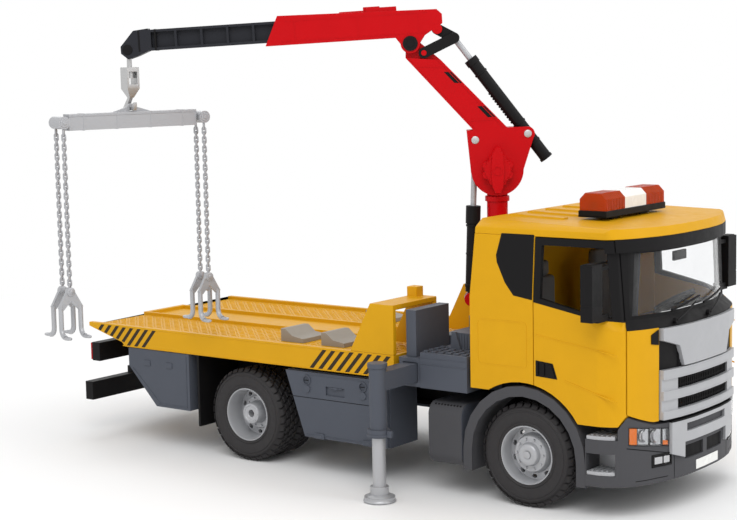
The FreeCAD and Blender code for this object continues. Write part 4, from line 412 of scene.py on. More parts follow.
def moulding(name, slot, colour, rough, metallic):
    """Moulded plastic: slight flow marks in the colour, uneven gloss and a fine grain."""
    procedural(name, slot, colour, tones=(0.94, 1.05), cloud=(45.0,), gloss=(160.0,),
               rough=(rough - 0.05, rough + 0.07), grain=(3200.0, 2.0), bump=(0.12, 0.00008),
               values={"Metallic": metallic, "IOR": 1.48,
                       "Specular IOR Level": 0.5 if metallic else 0.14})


def rubber(name, slot, colour):
    """Soft black plastic with dust in its fine grain."""
    procedural(name, slot, colour, tones=(0.8, 1.5), cloud=(220.0, 6.0, 0.7), rough=(0.55, 0.8),
               grain=(2400.0, 4.0), bump=(0.35, 0.0001), values={"Specular IOR Level": 0.4})


def lens(name, slot, colour, clearness, rough=0.08):
    """Tinted clear plastic with a faint ripple from the mould."""
    procedural(name, slot, colour, tones=(0.93, 1.03), cloud=(70.0,),
               rough=(rough, rough + 0.03), grain=(300.0, 2.0), bump=(0.05, 0.0001),
               values={"Transmission Weight": clearness, "IOR": 1.2})


def geometry_group(name):
    """A geometry node group with its start and its end."""
    tree = bpy.data.node_groups.new(name, "GeometryNodeTree")
    for way in ("INPUT", "OUTPUT"):
        tree.interface.new_socket("Geometry", in_out=way, socket_type="NodeSocketGeometry")
    return tree, tree.nodes.new("NodeGroupInput"), tree.nodes.new("NodeGroupOutput")


def pass_through(tree, *row):
    """Links the geometry through a row of nodes."""
    for source, target in zip(row, row[1:]):
        tree.links.new(source.outputs[0], target.inputs[0])


def seam_group():
    """Joins the imported mesh's seams, so that its edges can be softened."""
    tree, start, end = geometry_group("joined faces")
    clear = node(tree, "GeometryNodeRemoveAttribute", {"Name": "custom_normal"})
    merge = node(tree, "GeometryNodeMergeByDistance", {"Distance": 0.000002})
    pass_through(tree, start, clear, merge, end)
    return tree


def shading_group():
    """Shades soft all faces but those that meet at a sharp edge."""
    tree, start, end = geometry_group("soft shading")
    faces = node(tree, "GeometryNodeSetShadeSmooth")
    faces.domain = "FACE"
    edges = node(tree, "GeometryNodeSetShadeSmooth", {"Shade Smooth": False})
    edges.domain = "EDGE"
    angle = node(tree, "GeometryNodeInputMeshEdgeAngle")
    over = node(tree, "FunctionNodeCompare", {"B": SHARP})
    over.data_type = "FLOAT"
    over.operation = "GREATER_THAN"
    pass_through(tree, start, faces, edges, end)
    tree.links.new(angle.outputs["Unsigned Angle"], over.inputs["A"])
    tree.links.new(over.outputs["Result"], edges.inputs["Selection"])
    return tree


class TRUCK_OT_finishes(bpy.types.Operator):
    """Makes the procedural materials and puts them on every moulded piece"""
    bl_idname = "truck.finishes"
    bl_label = "Finishes"

    def execute(self, context):
        tint = context.scene.truck_colours
        rubber("rubber", "tyre_rubber", tuple(tint.rubber))
        lens("clear plastic", "clear_plastic", (0.95, 0.96, 0.97), 0.98, 0.0)
        lens("amber lens", "amber_plastic", tuple(tint.amber), 0.6)
        lens("red lens", "red_lens", tuple(tint.lamp_red), 0.3)
        for name, (slot, key, rough, metallic) in FINISHES.items():
            moulding(name, slot, tuple(getattr(tint, key)), rough, metallic)
        # A solid takes the first finish of its slot, unless it has one of its own
        first_of = {}
        for name, slot in SLOTS.items():
            first_of.setdefault(slot, name)
        joined, shading = seam_group(), shading_group()
        for key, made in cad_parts.items():
            own = made.material_slots[0]
            finish = OWN_FINISH.get(key, first_of[own.material.name.split(".")[0]])
            own.material = bpy.data.materials[finish]
            made.modifiers.new("joined faces", "NODES").node_group = joined
            flat = made.modifiers.new("flat faces", "DECIMATE")
            flat.decimate_type = "DISSOLVE"
            flat.angle_limit = math.radians(0.6)
            edge = EDGE_OF.get(key, size("soft_edge"))
            if edge:
                soften(made, edge)
            made.modifiers.new("soft shading", "NODES").node_group = shading
            made.modifiers.new("even shading", "WEIGHTED_NORMAL").keep_sharp = True
        return {"FINISHED"}


# Wheels

TYRE_FACE = -76
INNER_TYRE_FACE = -55
TYRE_WIDE = 19
TREAD_COUNT = 36
TREAD_HALF_TURN = 0.74 * math.pi / TREAD_COUNT
RIM_R = 17.2
HOLE_COUNT = 10


def tyre(form, x, face):
    """A tyre on the right: sidewalls with rings, round shoulders and a blocked tread."""
    half = TYRE_WIDE / 2
    mid = face + half
    top = TYRE_R - size("tyre_groove")
    wall = [(19.05, 1), (20.2, 0.3), (21, 0.9), (22, 0.5), (25.5, 0.05), (27.2, 0),
            (27.5, 0.35), (28.3, 0.35), (28.6, 0.1), (30.2, 0.7), (top - 0.3, 1.9), (top, 3)]
    profile = [(r, mid - half + a) for r, a in wall] + [(top, mid)]
    profile += [(r, mid + half - a) for r, a in reversed(wall)]
    form.lathe(profile, (x, TYRE_R), steps=72)
    rows = ((0.7 - half, 4.6 - half, 0), (5.5 - half, -0.55, 0.5), (0.55, half - 5.5, 0),
            (half - 4.6, half - 0.7, 0.5))
    for row, (low, high, shift) in enumerate(rows):
        for turn in turns(TREAD_COUNT, shift):
            tread_block(form, x, mid + low, mid + high, turn, top, row == 0, row == 3)


def tread_block(form, x, y0, y1, turn, foot, outer, inner):
    """One tread block from the groove's floor to the tyre's full radius."""
    skew = TREAD_HALF_TURN * 0.35
    rings = []
    for r, draw in ((foot - 0.6, 0), (TYRE_R - 0.35, 0), (TYRE_R, 0.3)):
        shoulder = 1.5 * (r - foot) / (TYRE_R - foot)
        reach = TREAD_HALF_TURN - draw / r
        near = y0 + draw + (shoulder if outer else 0)
        far = y1 - draw - (shoulder if inner else 0)
        corners = []
        for y, t in ((near, -reach - skew), (near, reach - skew),
                     (far, reach + skew), (far, -reach + skew)):
            corners.append(around("y", (x, TYRE_R), r, turn + t, y))
        rings.append(corners)
    form.stack(rings)


def rear_twins(form):
    tyre(form, 0, TYRE_FACE)
    tyre(form, 0, INNER_TYRE_FACE)


class TRUCK_OT_tyres(bpy.types.Operator):
    """Tyres with sidewall rings and tread blocks"""
    bl_idname = "truck.tyres"
    bl_label = "Tyres"

    def execute(self, context):
        piece("front_tyres_tread", "front_wheels", "rubber",
              lambda f: tyre(f, WHEELBASE, TYRE_FACE), 0, nodes=["front_tyres"])
        piece("rear_tyres_tread", "rear_wheels", "rubber", rear_twins, 0, nodes=["rear_tyres"])
        return {"FINISHED"}


def holed_disc(form, x, y0, y1, r0, at):
    """A flat ring with oval openings."""
    cuts = [arc(x, TYRE_R, r0, 0, 360, 60)[:-1]]
    for t in turns(HOLE_COUNT, 0.5):
        cuts.append(oval(x + at * math.cos(t), TYRE_R + at * math.sin(t), 1.35, 1.9, 14, t))
    form.plate(arc(x, TYRE_R, RIM_R, 0, 360, 80)[:-1], cuts, y0, y1)


def nuts(form, x, y, at, radius, high, count=10):
    for t in turns(count):
        u, v = x + at * math.cos(t), TYRE_R + at * math.sin(t)
        form.prism([(u + radius * math.cos(t + k), v + radius * math.sin(t + k))
                    for k in turns(6)], y, y - high, inset=radius * 0.25)


def front_rim(form):
    centre = (WHEELBASE, TYRE_R)
    form.lathe([(18.95, -58), (18.95, -74.6), (18.6, -75.2), (18.1, -75.2),
                (17.7, -74.4), (17.2, -73), (17, -65), (17, -58)],
               centre, steps=80)
    holed_disc(form, WHEELBASE, -65.4, -63, 12.6, 15)
    form.lathe([(2.55, -62.8), (12.9, -62.8), (12.9, -65.6), (12.5, -66.6), (11.9, -69.4),
                (11.2, -70.2), (8.2, -70.3), (7.6, -70.6), (7.1, -73.2), (6.6, -74),
                (5.8, -74.4), (3, -74.4), (2.55, -74.2)], centre)
    nuts(form, WHEELBASE, -70, 9.6, 0.95, 1.3)
    form.disc(centre, 2.5, -75, -74.2, steps=20)


def rear_rim(form):
    centre = (0, TYRE_R)
    form.lathe([(18.95, -37), (18.95, -74.6), (18.6, -75.2), (18.1, -75.2),
                (17.7, -74.4), (17.4, -72.6), (17, -70.5), (16.6, -62),
                (17, -59), (17, -37)], centre, steps=80)
    holed_disc(form, 0, -61.4, -58.9, 11.5, 14.4)
    form.lathe([(2.55, -58.8), (11.8, -58.8), (11.8, -62.4), (11.3, -63), (8.4, -63),
                (8, -63.4), (7.4, -70.6), (6.9, -71.2), (5.6, -71.4), (5.2, -71),
                (3, -71), (2.55, -70.6)], centre)
    nuts(form, 0, -62.8, 10, 0.95, 1.3)
    nuts(form, 0, -71.2, 6.2, 0.4, 0.5, 8)


class TRUCK_OT_rims(bpy.types.Operator):
    """Domed front rims and deep rear rims with nuts and oval holes"""
    bl_idname = "truck.rims"
    bl_label = "Rims"

    def execute(self, context):
        for name, body, draw, node_name in (
                ("front_rims_dome", "front_wheels", front_rim, "front_rims"),
                ("rear_rims_dish", "rear_wheels", rear_rim, "rear_rims")):
            piece(name, body, "rim moulding", draw, 0, nodes=[node_name])
        return {"FINISHED"}


# Load bed

MARK_PITCH = 4.6
MARK_COLUMNS = 60
MARK_ROWS = 11
FIRST_MARK = (-147, 24.6)
STRIPE_COUNT = 8
STRIPE_PITCH = 7.6
STRIPE_WIDE = 3.4
STRIPE_LEAN = 12
STRIPES_FRONT = 62
STRIPES_REAR = -150
STRIPE_FOOT_Z = 73.4
STRIPE_TOP_Z = 87
TAIL_SLANT_X = -116


def stripe_foot(x):
    """The lower end of a stripe, above the slanted tail."""
    share = max(0, (12.4 - 0.2853 * (x + 151)) / 17.02) if x < TAIL_SLANT_X else 0
    return x + STRIPE_LEAN * share, STRIPE_FOOT_Z + (STRIPE_TOP_Z - STRIPE_FOOT_Z) * share


def on_chock(x, y):
    return 19 < x < 81 and 34 < y < 64 and not 44 < x < 56


def runway_marks(form):
    high = DECK_Z + size("tread_high")
    for side in (-1, 1):
        for column in range(MARK_COLUMNS):
            for row in range(MARK_ROWS):
                x = FIRST_MARK[0] + MARK_PITCH * column
                y = FIRST_MARK[1] + MARK_PITCH * row
                lean = math.radians(45 if (row + column) % 2 else -45)
                if not on_chock(x, y):
                    form.prism(oval(x, side * y, 2.1, 0.75, 8, lean), DECK_Z - 0.1, high,
                               "z", 0.35)


def bed_stripes(form):
    for first in (STRIPES_FRONT, STRIPES_REAR):
        for i in range(STRIPE_COUNT):
            x = first + i * STRIPE_PITCH
            top = x + STRIPE_LEAN
            form.prism([stripe_foot(x), stripe_foot(x + STRIPE_WIDE),
                        (top + STRIPE_WIDE, STRIPE_TOP_Z), (top, STRIPE_TOP_Z)],
                       -79.9, -80.12)


class TRUCK_OT_deck(bpy.types.Operator):
    """Raised tread marks on the runways and slanted stripes on the bed's sides"""
    bl_idname = "truck.deck"
    bl_label = "Deck"

    def execute(self, context):
        piece("deck_tread", "chassis", "yellow moulding", runway_marks, 0, (WORLD,))
        piece("bed_stripes", "chassis", "stripe print", bed_stripes, 0)
        return {"FINISHED"}


class TRUCK_OT_bed_fittings(bpy.types.Operator):
    """Thin edges along the sides of the load bed"""
    bl_idname = "truck.bed_fittings"
    bl_label = "Bed fittings"

    def execute(self, context):
        piece("bed_edges", "chassis", "yellow moulding", lambda f: f.boxes(
            (-118, 96, -80.3, -79.8, 86.6, 87.6),
            (-116, 130, -80.25, -79.8, 72.6, 73.3)), 0.2)
        return {"FINISHED"}


# Boxes, steps and undercarriage

LEG = (144.7, -113.4)
HINGES_X = (69.6, 110.3)
LOCKS_X = (59.5, 107.5)


def door_marks(form):
    form.boxes((58, 124.5, -80.35, -79.9, 26.6, 27.2),
               (58, 124.8, -80.35, -79.9, 68.4, 69),
               (124.2, 124.8, -80.35, -79.9, 26.6, 69))
    for x in HINGES_X:
        form.boxes((x - 4, x + 4, -80.9, -79.8, 24.9, 28.6),
                   (x - 2.6, x + 2.6, -81.2, -80.8, 25.6, 27.6))
    for x in LOCKS_X:
        form.lathe([(2.7, -81), (3.3, -80.8), (3.3, -79.9), (2.7, -79.9)], (x, 64.5),
                   steps=24)
    form.prism(rounded(82.2, 85.2, 60, 61.6, 0.5, 2), -79.6, -80.4)
    form.boxes((79, 89.5, -80.3, -79.6, 60.6, 61.3))


def tank_shell(form):
    form.prism([(-43, 19.6), (-43, 60.4)] + arc(-71.4, 52.2, 8.2, 90, 180, 8)
               + arc(-71.4, 27.8, 8.2, 180, 270, 8), 159.7, 185.2, "x")


def tank_marks(form):
    for i in range(9):
        form.disc((163.5 + 2.4 * i, 58.8), 0.7, -76.6, -75.4, "y", 8, 0.2)


def back_box(form):
    for outline in ([(-81, 32.4), (-53, 32.4), (-53, 33), (-81.2, 33)],
                    [(-53.6, 33), (-53, 33), (-53, 70), (-53.6, 70)],
                    [(-107.6, 57), (-81.2, 33), (-80.4, 33.6), (-107, 57.6)]):
        form.prism(outline, -79.75, -79.3)
    for x in (-92, -70):
        form.boxes((x - 3, x + 3, -80, -79.3, 60, 64))


class TRUCK_OT_boxes(bpy.types.Operator):
    """Border lines, hinge clips, seams and lock slots of the toolboxes and tanks, with painted
    shade in the toolbox handle recesses
    """
    bl_idname = "truck.boxes"
    bl_label = "Boxes"

    def execute(self, context):
        for key, place in SIDES:
            body = "toolbox_door_" + key
            piece("toolbox_marks_" + key, body, "grey moulding", door_marks, 0.1, (place,))
            # The black sheet behind each handle recess is painted shade. The thin line along the
            # door is a real seam, and the small bars are lock slots.
            piece("toolbox_dark_" + key, body, "dark mesh", lambda f: f.boxes(
                (42, 126, -80.12, -79.8, 52.2, 52.6),
                (78.2, 90.2, -78.75, -78.5, 61.6, 67.4),
                *((x - 1.9, x + 1.9, -81.15, -80.9, 64.2, 64.8) for x in LOCKS_X)),
                0, (place,))
        piece("tank_shells", "chassis", "fender moulding", tank_shell, 0.3)
        piece("tank_marks", "chassis", "black moulding", tank_marks, 0.15)
        piece("back_box_marks", "chassis", "grey moulding", back_box, 0.15)
        return {"FINISHED"}


def studs(form):
    high = size("stud_high")
    for i in range(6):
        for k in range(4):
            x, y = 156.5 + 6 * i, -75.5 + 6 * k
            form.boxes((x - 1.6, x + 1.6, y - 1.6, y + 1.6, 91.9, 92 + high))
    form.boxes((153.6, 190.2, -79.6, -78.6, 88.4, 89),
               (153.6, 190.2, -79.7, -79.2, 84.2, 84.8))


def riser(form):
    for outline in ([(164, 92), (172, 92), (168, 103.5), (165.2, 103.5)],
                    [(182, 92), (190, 92), (188.8, 103.5), (186, 103.5)]):
        form.prism(outline, -59.6, -57.6)
    form.boxes((163.6, 190, -57.7, -40, 91.9, 103))
    for i in range(12):
        x = 165 + 2.1 * i
        form.boxes((x - 0.5, x + 0.5, -58.1, -57.6, 93, 102.4))


def step_bars(form):
    for z in (30.4, 52.3):
        for i in range(5):
            x = 279.6 + 3.2 * i
            form.boxes((x - 0.5, x + 0.5, -78 + 0.42 * i, -66, z - 0.1, z + 0.5))


def leg_pad(form):
    form.lathe([(0, 0.1), (10, 0.1), (10.6, 0.6), (10.2, 1.8), (8.6, 3.6), (6.6, 5),
                (0, 5)], LEG, "z", 40)


def arm_flanges(form):
    form.disc(LEG, 6.4, 86.4, 89.6, "z", 28, 0.4)
    form.disc(LEG, 7.6, 42.6, 44, "z", 28, 0.3)
    form.boxes((152, 155.5, -114.6, -112.2, 42.4, 46.6))


class TRUCK_OT_steps(bpy.types.Operator):
    """Studs and risers of the step blocks, leg pads, flanges and cab steps"""
    bl_idname = "truck.steps"
    bl_label = "Steps"

    def execute(self, context):
        piece("step_studs", "chassis", "grey moulding", studs, 0.15)
        piece("step_risers", "chassis", "grey moulding", riser, 0)
        piece("tread_bars", "chassis", "silver moulding", step_bars, 0)
        for key, place in SIDES:
            piece("leg_pad_" + key, "leg_" + key, "silver moulding", leg_pad, 0.1, (place,))
            piece("arm_flanges_" + key, "outrigger_" + key, "grey moulding", arm_flanges, 0.2,
                  (place,))
        return {"FINISHED"}


def springs(form):
    for x in (0, WHEELBASE):
        for i in range(4):
            half, top = 30 - 6 * i, 51.5 - 1.5 * i
            form.boxes((x - half, x + half, -33, -28, top - 1.2, top))


class TRUCK_OT_underside(bpy.types.Operator):
    """Springs, drive shaft and the rear lamps' divides"""
    bl_idname = "truck.underside"
    bl_label = "Underside"

    def execute(self, context):
        piece("leaf_springs", "chassis", "black moulding", springs, 0.1)
        piece("drive_shaft", "chassis", "steel", lambda f: f.tube(
            [(30, 8, 44), (70, 8, 46), (120, 0, 48), (160, 0, 52)],
            3, 14), 0, (WORLD,))
        piece("rear_lamp_divides", "chassis", "black moulding", lambda f: f.boxes(
            *((-154.3, -153.2, y - 0.4, y + 0.4, 59, 71) for y in (-64, -56, -48))),
            0.15)
        piece("rear_turn_lamps", "chassis", "orange lens", lambda f: f.boxes(
            (-153.9, -153.4, -72, -64, 60.2, 69.8)), 0.15)
        return {"FINISHED"}


# Cab

NOSE_X = 316
NOSE_BACK = (0, 0.4, 2, 4.5, 6.7, 9, 11.7, 15, 19, 24, 30, 33)
NOSE_OUT_SHARES = (0, 0.225, 0.4, 0.55, 0.625, 0.712, 0.788, 0.862, 0.925, 0.969, 0.995, 1)
MESH_PITCH = 2.4
BAR_END = 33.6
SEAT_FOOT_Z = 87


def nose_point(y, out, back=0):
    """A point of the nose in plan, pushed out along its normal."""
    share = abs(y) / HALF_WIDTH
    spot = max(i for i, s in enumerate(NOSE_OUT_SHARES[:-1]) if s <= share)
    a, b = NOSE_OUT_SHARES[spot:spot + 2]
    c, d = NOSE_BACK[spot:spot + 2]
    x = NOSE_X - back - (c + (d - c) * (share - a) / (b - a))
    lean = math.atan2(d - c, (b - a) * HALF_WIDTH)
    side = -1 if y < 0 else 1
    return x + out * math.cos(lean), y + side * out * math.sin(lean)


def on_nose(form, y0, y1, low, high, inner, outer):
    """A slab that follows the nose; low and high are heights at y0 and at y1."""
    count = max(2, int(abs(y1 - y0) / 2.5) + 1)
    rings = []
    for i in range(count):
        t = i / (count - 1)
        y = y0 + (y1 - y0) * t
        z0 = low[0] + (low[1] - low[0]) * t
        z1 = high[0] + (high[1] - high[0]) * t
        deep, face = nose_point(y, inner), nose_point(y, outer)
        rings.append([(*deep, z0), (*face, z0), (*face, z1), (*deep, z1)])
    form.stack(rings)


def strips(form, *sizes):
    """Level slabs on the nose."""
    for y0, y1, z0, z1, inner, outer in sizes:
        on_nose(form, y0, y1, (z0, z0), (z1, z1), inner, outer)


def lamp_z(y, share):
    """A height within the slanted headlamp, whose share runs from its foot to its top."""
    t = (abs(y) - 41) / 29
    low, high = 42.7 + 4 * t, 53.6 + 4 * t
    return low + (high - low) * share


def lamp_slabs(form, *sizes):
    """Slabs within the headlamp; their heights are shares of it."""
    for y0, y1, low, high, inner, outer in sizes:
        on_nose(form, y0, y1, (lamp_z(y0, low), lamp_z(y1, low)),
                (lamp_z(y0, high), lamp_z(y1, high)), inner, outer)


def bowls(form):
    for y, wide in ((-60, 3.6), (-51.5, 4.2)):
        x, yy = nose_point(y, -1.4)
        form.lathe([(0, x - 0.4), (wide * 0.5, x - 0.3), (wide, x + 0.55),
                    (wide + 0.5, x + 0.6), (wide + 0.6, x - 0.6), (0, x - 0.6)],
                   (yy, lamp_z(y, 0.55)), "x", 28)


class TRUCK_OT_headlamps(bpy.types.Operator):
    """Headlamps with clear covers, bright reflectors and turn lamps"""
    bl_idname = "truck.headlamps"
    bl_label = "Headlamps"

    def execute(self, context):
        piece("headlights_covers", "chassis", "clear plastic", lambda f: lamp_slabs(
            f, (-69.6, -41.3, 0.03, 0.97, -0.2, 0.75)), 0.15, nodes=["headlights"])
        piece("headlamp_reflectors", "chassis", "chrome", lambda f: lamp_slabs(
            f, (-64.6, -41.6, 0.05, 0.95, -1.9, -1.4)), 0.1)
        piece("turn_lamps", "chassis", "orange lens", lambda f: lamp_slabs(
            f, (-69.4, -65, 0.05, 0.95, -1.9, -0.4), (-46, -42, 0.06, 0.3, -1.4, -0.4)),
            0.1)
        piece("headlamp_bowls", "chassis", "chrome", bowls, 0)
        piece("headlamp_divides", "chassis", "black gloss", lambda f: lamp_slabs(
            f, (-65, -64.6, 0.04, 0.96, -1.9, -0.3), (-56.2, -55.7, 0.05, 0.95, -1.5, -0.6),
            (-46.6, -46.1, 0.05, 0.95, -1.5, -0.6)), 0.1)
        return {"FINISHED"}


def grille_mesh(form):
    for low, high, half in ((64.9, 71.3, 33.6), (77.3, 84.2, 33.6), (90.4, 103, 33)):
        count = int(2 * half / MESH_PITCH)
        for i in range(count):
            y = -half + 2 * half * (i + 0.5) / count
            strips(form, (y - 0.35, y + 0.35, low, high, -0.7, -0.05))
        rows = max(2, int((high - low) / MESH_PITCH))
        for i in range(rows):
            z = low + (high - low) * (i + 0.5) / rows
            strips(form, (-half, half, z - 0.3, z + 0.3, -0.7, -0.2))


def bar_lines(form):
    for low, high in ((84.3, 90.3), (71.4, 77.2), (59.6, 64.8)):
        for z in (high - 1.1, low + 0.6):
            strips(form, (-BAR_END, BAR_END, z, z + 0.5, 2.1, 2.45))


def bumper_seams(form):
    on_nose(form, -36.2, -35.8, (21.6, 21.6), (36.6, 36.6), -0.3, 0.12)
    on_nose(form, -71, -41, (44.7, 38), (45.2, 38.5), -0.3, 0.12)
    strips(form, (-66, -42, 23.8, 24.2, -0.3, 0.12),
           (-24.5, -3, 31.9, 39.6, -1.3, -0.9))


def wipers(form):
    for y in (-34, 6):
        arm = []
        for i in range(8):
            t = i / 7
            arm.append((*nose_point(y + 30 * t, 1.6, 1 + 5.2 * t), 119.5 + 7.5 * t))
        form.tube(arm, 0.7, 6)
        blade = []
        for i in range(12):
            t = i / 11
            blade.append((*nose_point(y + 4 + 34 * t, 0.5, 6.6), 124.6 + 5 * t))
        form.tube(blade, 0.8, 6)
        x, yy = nose_point(y, 0.4, 1.5)
        form.disc((yy, 119.2), 1.7, x - 1, x + 1.6, "x", 16)


class TRUCK_OT_nose(bpy.types.Operator):
    """Mesh behind the grille bars, wipers, small lamps, seams and the blank plate"""
    bl_idname = "truck.nose"
    bl_label = "Nose"

    def execute(self, context):
        piece("grille_mesh", "cab", "dark mesh", grille_mesh, 0, (WORLD,))
        piece("bar_lines", "cab", "silver moulding", lambda f: strips(
            f, *((-48.3, -35, z - 0.25, z + 0.25, 0.9, 1.3) for z in (62.2, 74.2, 87.2))), 0,
            middle=bar_lines)
        piece("bumper_seams", "chassis", "dark mesh", bumper_seams, 0,
              middle=lambda f: strips(f, (-40.5, 40.5, 57, 57.9, -0.2, 2)))
        piece("fog_lamp_frames", "chassis", "black gloss", lambda f: strips(
            f, (-55, -38.6, 30.8, 31.9, -0.2, 0.5), (-55, -38.6, 37.7, 38.8, -0.2, 0.5),
            (-55, -53.9, 31.9, 37.7, -0.2, 0.5), (-39.7, -38.6, 31.9, 37.7, -0.2, 0.5),
            (-53.9, -39.7, 31.9, 37.7, -0.2, 0.08)), 0.15)
        piece("fog_lamps", "chassis", "chrome", lambda f: strips(
            f, (-52.8, -46.8, 32.7, 36.9, 0, 0.35), (-45.8, -40.8, 32.7, 36.9, 0, 0.3)), 0.1)
        piece("plate_blank", "chassis", "white lens", lambda f: strips(
            f, (-12, 18, 22.6, 28.5, 0, 0.5)), 0.15, (WORLD,))
        piece("wipers", "cab", "black moulding", wipers, 0.15, (WORLD,))
        piece("corner_lamps", "cab", "black gloss", lambda f: on_nose(
            f, -55.5, -49.8, (107, 106), (112.6, 115.4), -0.2, 0.7), 0.2)
        return {"FINISHED"}


def skin(form, points, lift):
    """A thin plate on the cab's leaning side wall, between points in x and z."""
    wall = [(x, max(0, z - 131) * 3.5 / 44 - HALF_WIDTH, z) for x, z in points]
    form.stack([[(x, y + 0.3, z) for x, y, z in wall], [(x, y - lift, z) for x, y, z in wall]])


def handle(form):
    skin(form, [(241.4, 85.2), (241.4, 95), (253.6, 93.9), (256.8, 84.4)], 0.35)
    skin(form, [(242.4, 86), (242.4, 94), (243.6, 94), (243.6, 86)], 1.2)
    skin(form, [(246.6, 86), (246.6, 93.8), (248, 93.6), (248, 86)], 1.2)
    skin(form, [(252.8, 85.4), (250.6, 93.4), (252.8, 93.2), (255.4, 85.2)], 1)


def mirror_glass(form):
    form.boxes((282.6, 283.1, -96, -86, 136.2, 156.6),
               (282.6, 283.1, -96, -86, 125.4, 132.4))


def mirror_edges(form):
    form.boxes((283.2, 290.8, -97.3, -84.8, 133.2, 134.8),
               (284, 290, -96.4, -85.6, 157.9, 158.5))


def door_lines(form):
    skin(form, [(240.6, 111.3), (298, 103), (298, 102.4), (240.6, 110.7)], 0.2)
    skin(form, [(262, 84.6), (298, 74.6), (298, 73.8), (262, 83.8)], 0.3)


class TRUCK_OT_cab_sides(bpy.types.Operator):
    """Rear quarter panels, door handles, mirror glass and seams of the cab"""
    bl_idname = "truck.cab_sides"
    bl_label = "Cab sides"

    def execute(self, context):
        piece("quarter_panels", "cab", "black gloss", lambda f: skin(
            f, [(215.4, 172), (211.9, 158.3), (212.6, 153.9), (219.1, 141.4), (225.5, 134),
                (239.1, 132), (239.1, 172)], 0.25), 0.2)
        for key, place in SIDES:
            for name, finish, draw, edge in (
                    ("door_handle_", "black moulding", handle, 0.2),
                    ("mirror_glass_", "chrome", mirror_glass, 0.1),
                    ("mirror_edges_", "black moulding", mirror_edges, 0.3),
                    ("door_lines_", "yellow moulding", door_lines, 0)):
                piece(name + key, "door_" + key, finish, draw, edge, (place,))
        piece("cab_lines", "cab", "yellow moulding", lambda f: f.plate(
            rounded(198.5, 235, 89, 118, 3), [rounded(199.2, 234.3, 89.7, 117.3, 2.5)],
            -79.8, -80.15), 0)
        piece("roof_lines", "cab", "yellow moulding", lambda f: f.boxes(
            *((199, 296, y - 0.3, y + 0.3, 176.4, 176.6) for y in range(-64, 65, 16))), 0,
            (WORLD,))
        return {"FINISHED"}


def cushion(form, x0, x1, y0, y1, z, high, soft):
    """A block whose edges round off over the soft width."""
    levels = []
    for t in (math.pi / 8 * step for step in range(5)):
        levels.append((soft * (1 - math.sin(t)), soft * (1 - math.cos(t))))
    for t in (math.pi / 8 * step for step in range(1, 5)):
        levels.append((soft * (1 - math.cos(t)), high - soft + soft * math.sin(t)))
    rings = []
    for draw, up in levels:
        loop = rounded(x0 + draw, x1 - draw, y0 + draw, y1 - draw, max(0.4, soft - draw * 0.6))
        rings.append([(u, v, z + up) for u, v in loop])
    form.stack(rings)


def seat(form):
    cushion(form, 214, 244, -54, -22, SEAT_FOOT_Z, 14, 3.2)
    cushion(form, 214.2, 222, -53.6, -22.4, SEAT_FOOT_Z + 14, 39.6, 2.8)
    cushion(form, 214.8, 221.4, -47, -29, SEAT_FOOT_Z + 53.6, 10.2, 2.6)


def dials(form):
    for y in (30, 46):
        form.disc((y, 116.5), 5.4, 286.6, 288.2, "x", 24)
    form.boxes((286.8, 288.2, -20, 12, 106, 117.5),
               (287.2, 288.2, -16, -2, 108, 115.5),
               (287.2, 288.2, 0, 9, 108, 115.5),
               (292, 300, -26, 26, 120.6, 122.4))


def lever(form):
    form.tube([(272, 2, 87), (271, 2, 96), (269, 2, 104)], 1.1, 8)
    form.disc((268.8, 2), 2.2, 103.6, 107.4, "z", 14, 1.2)
    form.boxes((296.5, 298.5, -8, 8, 152, 158))


class TRUCK_OT_cab_inside(bpy.types.Operator):
    """Seats with soft cushions, dials and gear lever inside the cab"""
    bl_idname = "truck.cab_inside"
    bl_label = "Cab inside"

    def execute(self, context):
        piece("seats_soft", "cab", "seat moulding", seat, 0, nodes=["seats"])
        piece("dash_dials", "cab", "dark mesh", dials, 0.3, (WORLD,))
        piece("gear_lever", "cab", "black moulding", lever, 0.4, (WORLD,))
        return {"FINISHED"}


def lens_ribs(form):
    out = 0.25
    for y in range(-37, 38, 2):
        if abs(y) > 14.5:
            form.prism([(248.6 - out, 184), (267.4 + out, 184), (267.4 + out, 191.4),
                        (263.8 + out * 0.4, 195 + out), (252.2 - out * 0.4, 195 + out),
                        (248.6 - out, 191.4)], y - 0.35, y + 0.35)


def end_lamps(form):
    for s in (-1, 1):
        form.boxes((253, 263, s * 33, s * 36.5, 185.2, 190),
                   (251.5, 264.5, s * 17.5, s * 29, 185.2, 189.4))
        form.disc((258, 187.8), 1.9, s * 37, s * 38, "y", 16)


class TRUCK_OT_light_bar(bpy.types.Operator):
    """Ribs on the light bar's lenses and the blocks inside its ends"""
    bl_idname = "truck.light_bar"
    bl_label = "Light bar"

    def execute(self, context):
        piece("light_bar_ribs", "cab", "amber lens", lens_ribs, 0, (WORLD,))
        piece("light_bar_lamps", "cab", "black moulding", end_lamps, 0, (WORLD,))
        piece("light_bar_seams", "cab", "black moulding",
              lambda f: f.boxes((249.2, 266.8, -33.6, -32.4, 180.8, 184.2)), 0.15,
              middle=lambda f: f.boxes((248.2, 267.8, -38.8, 38.8, 183.6, 184.2),
                                       (247.8, 268.2, -39, 39, 180.4, 181)))
        return {"FINISHED"}


# Crane

LIFT_FOOT = (-18.3, 118)
LIFT_EYE = (-14.5, 225.4)
FOLD_FOOT = (20.5, 229.1)
FOLD_APEX = (-27.6, 293.1)
FOLD_LONG = math.dist(FOLD_FOOT, FOLD_APEX)
BOOM_UPPER = ((6.9, 233.4), (-36.5, 278.7))
BOOM_LOWER = ((-15.5, 231.8), (-60, 280.5))
BOOM_FACE = 7.4


def on_line(start, end, share):
    return (start[0] + (end[0] - start[0]) * share, start[1] + (end[1] - start[1]) * share)


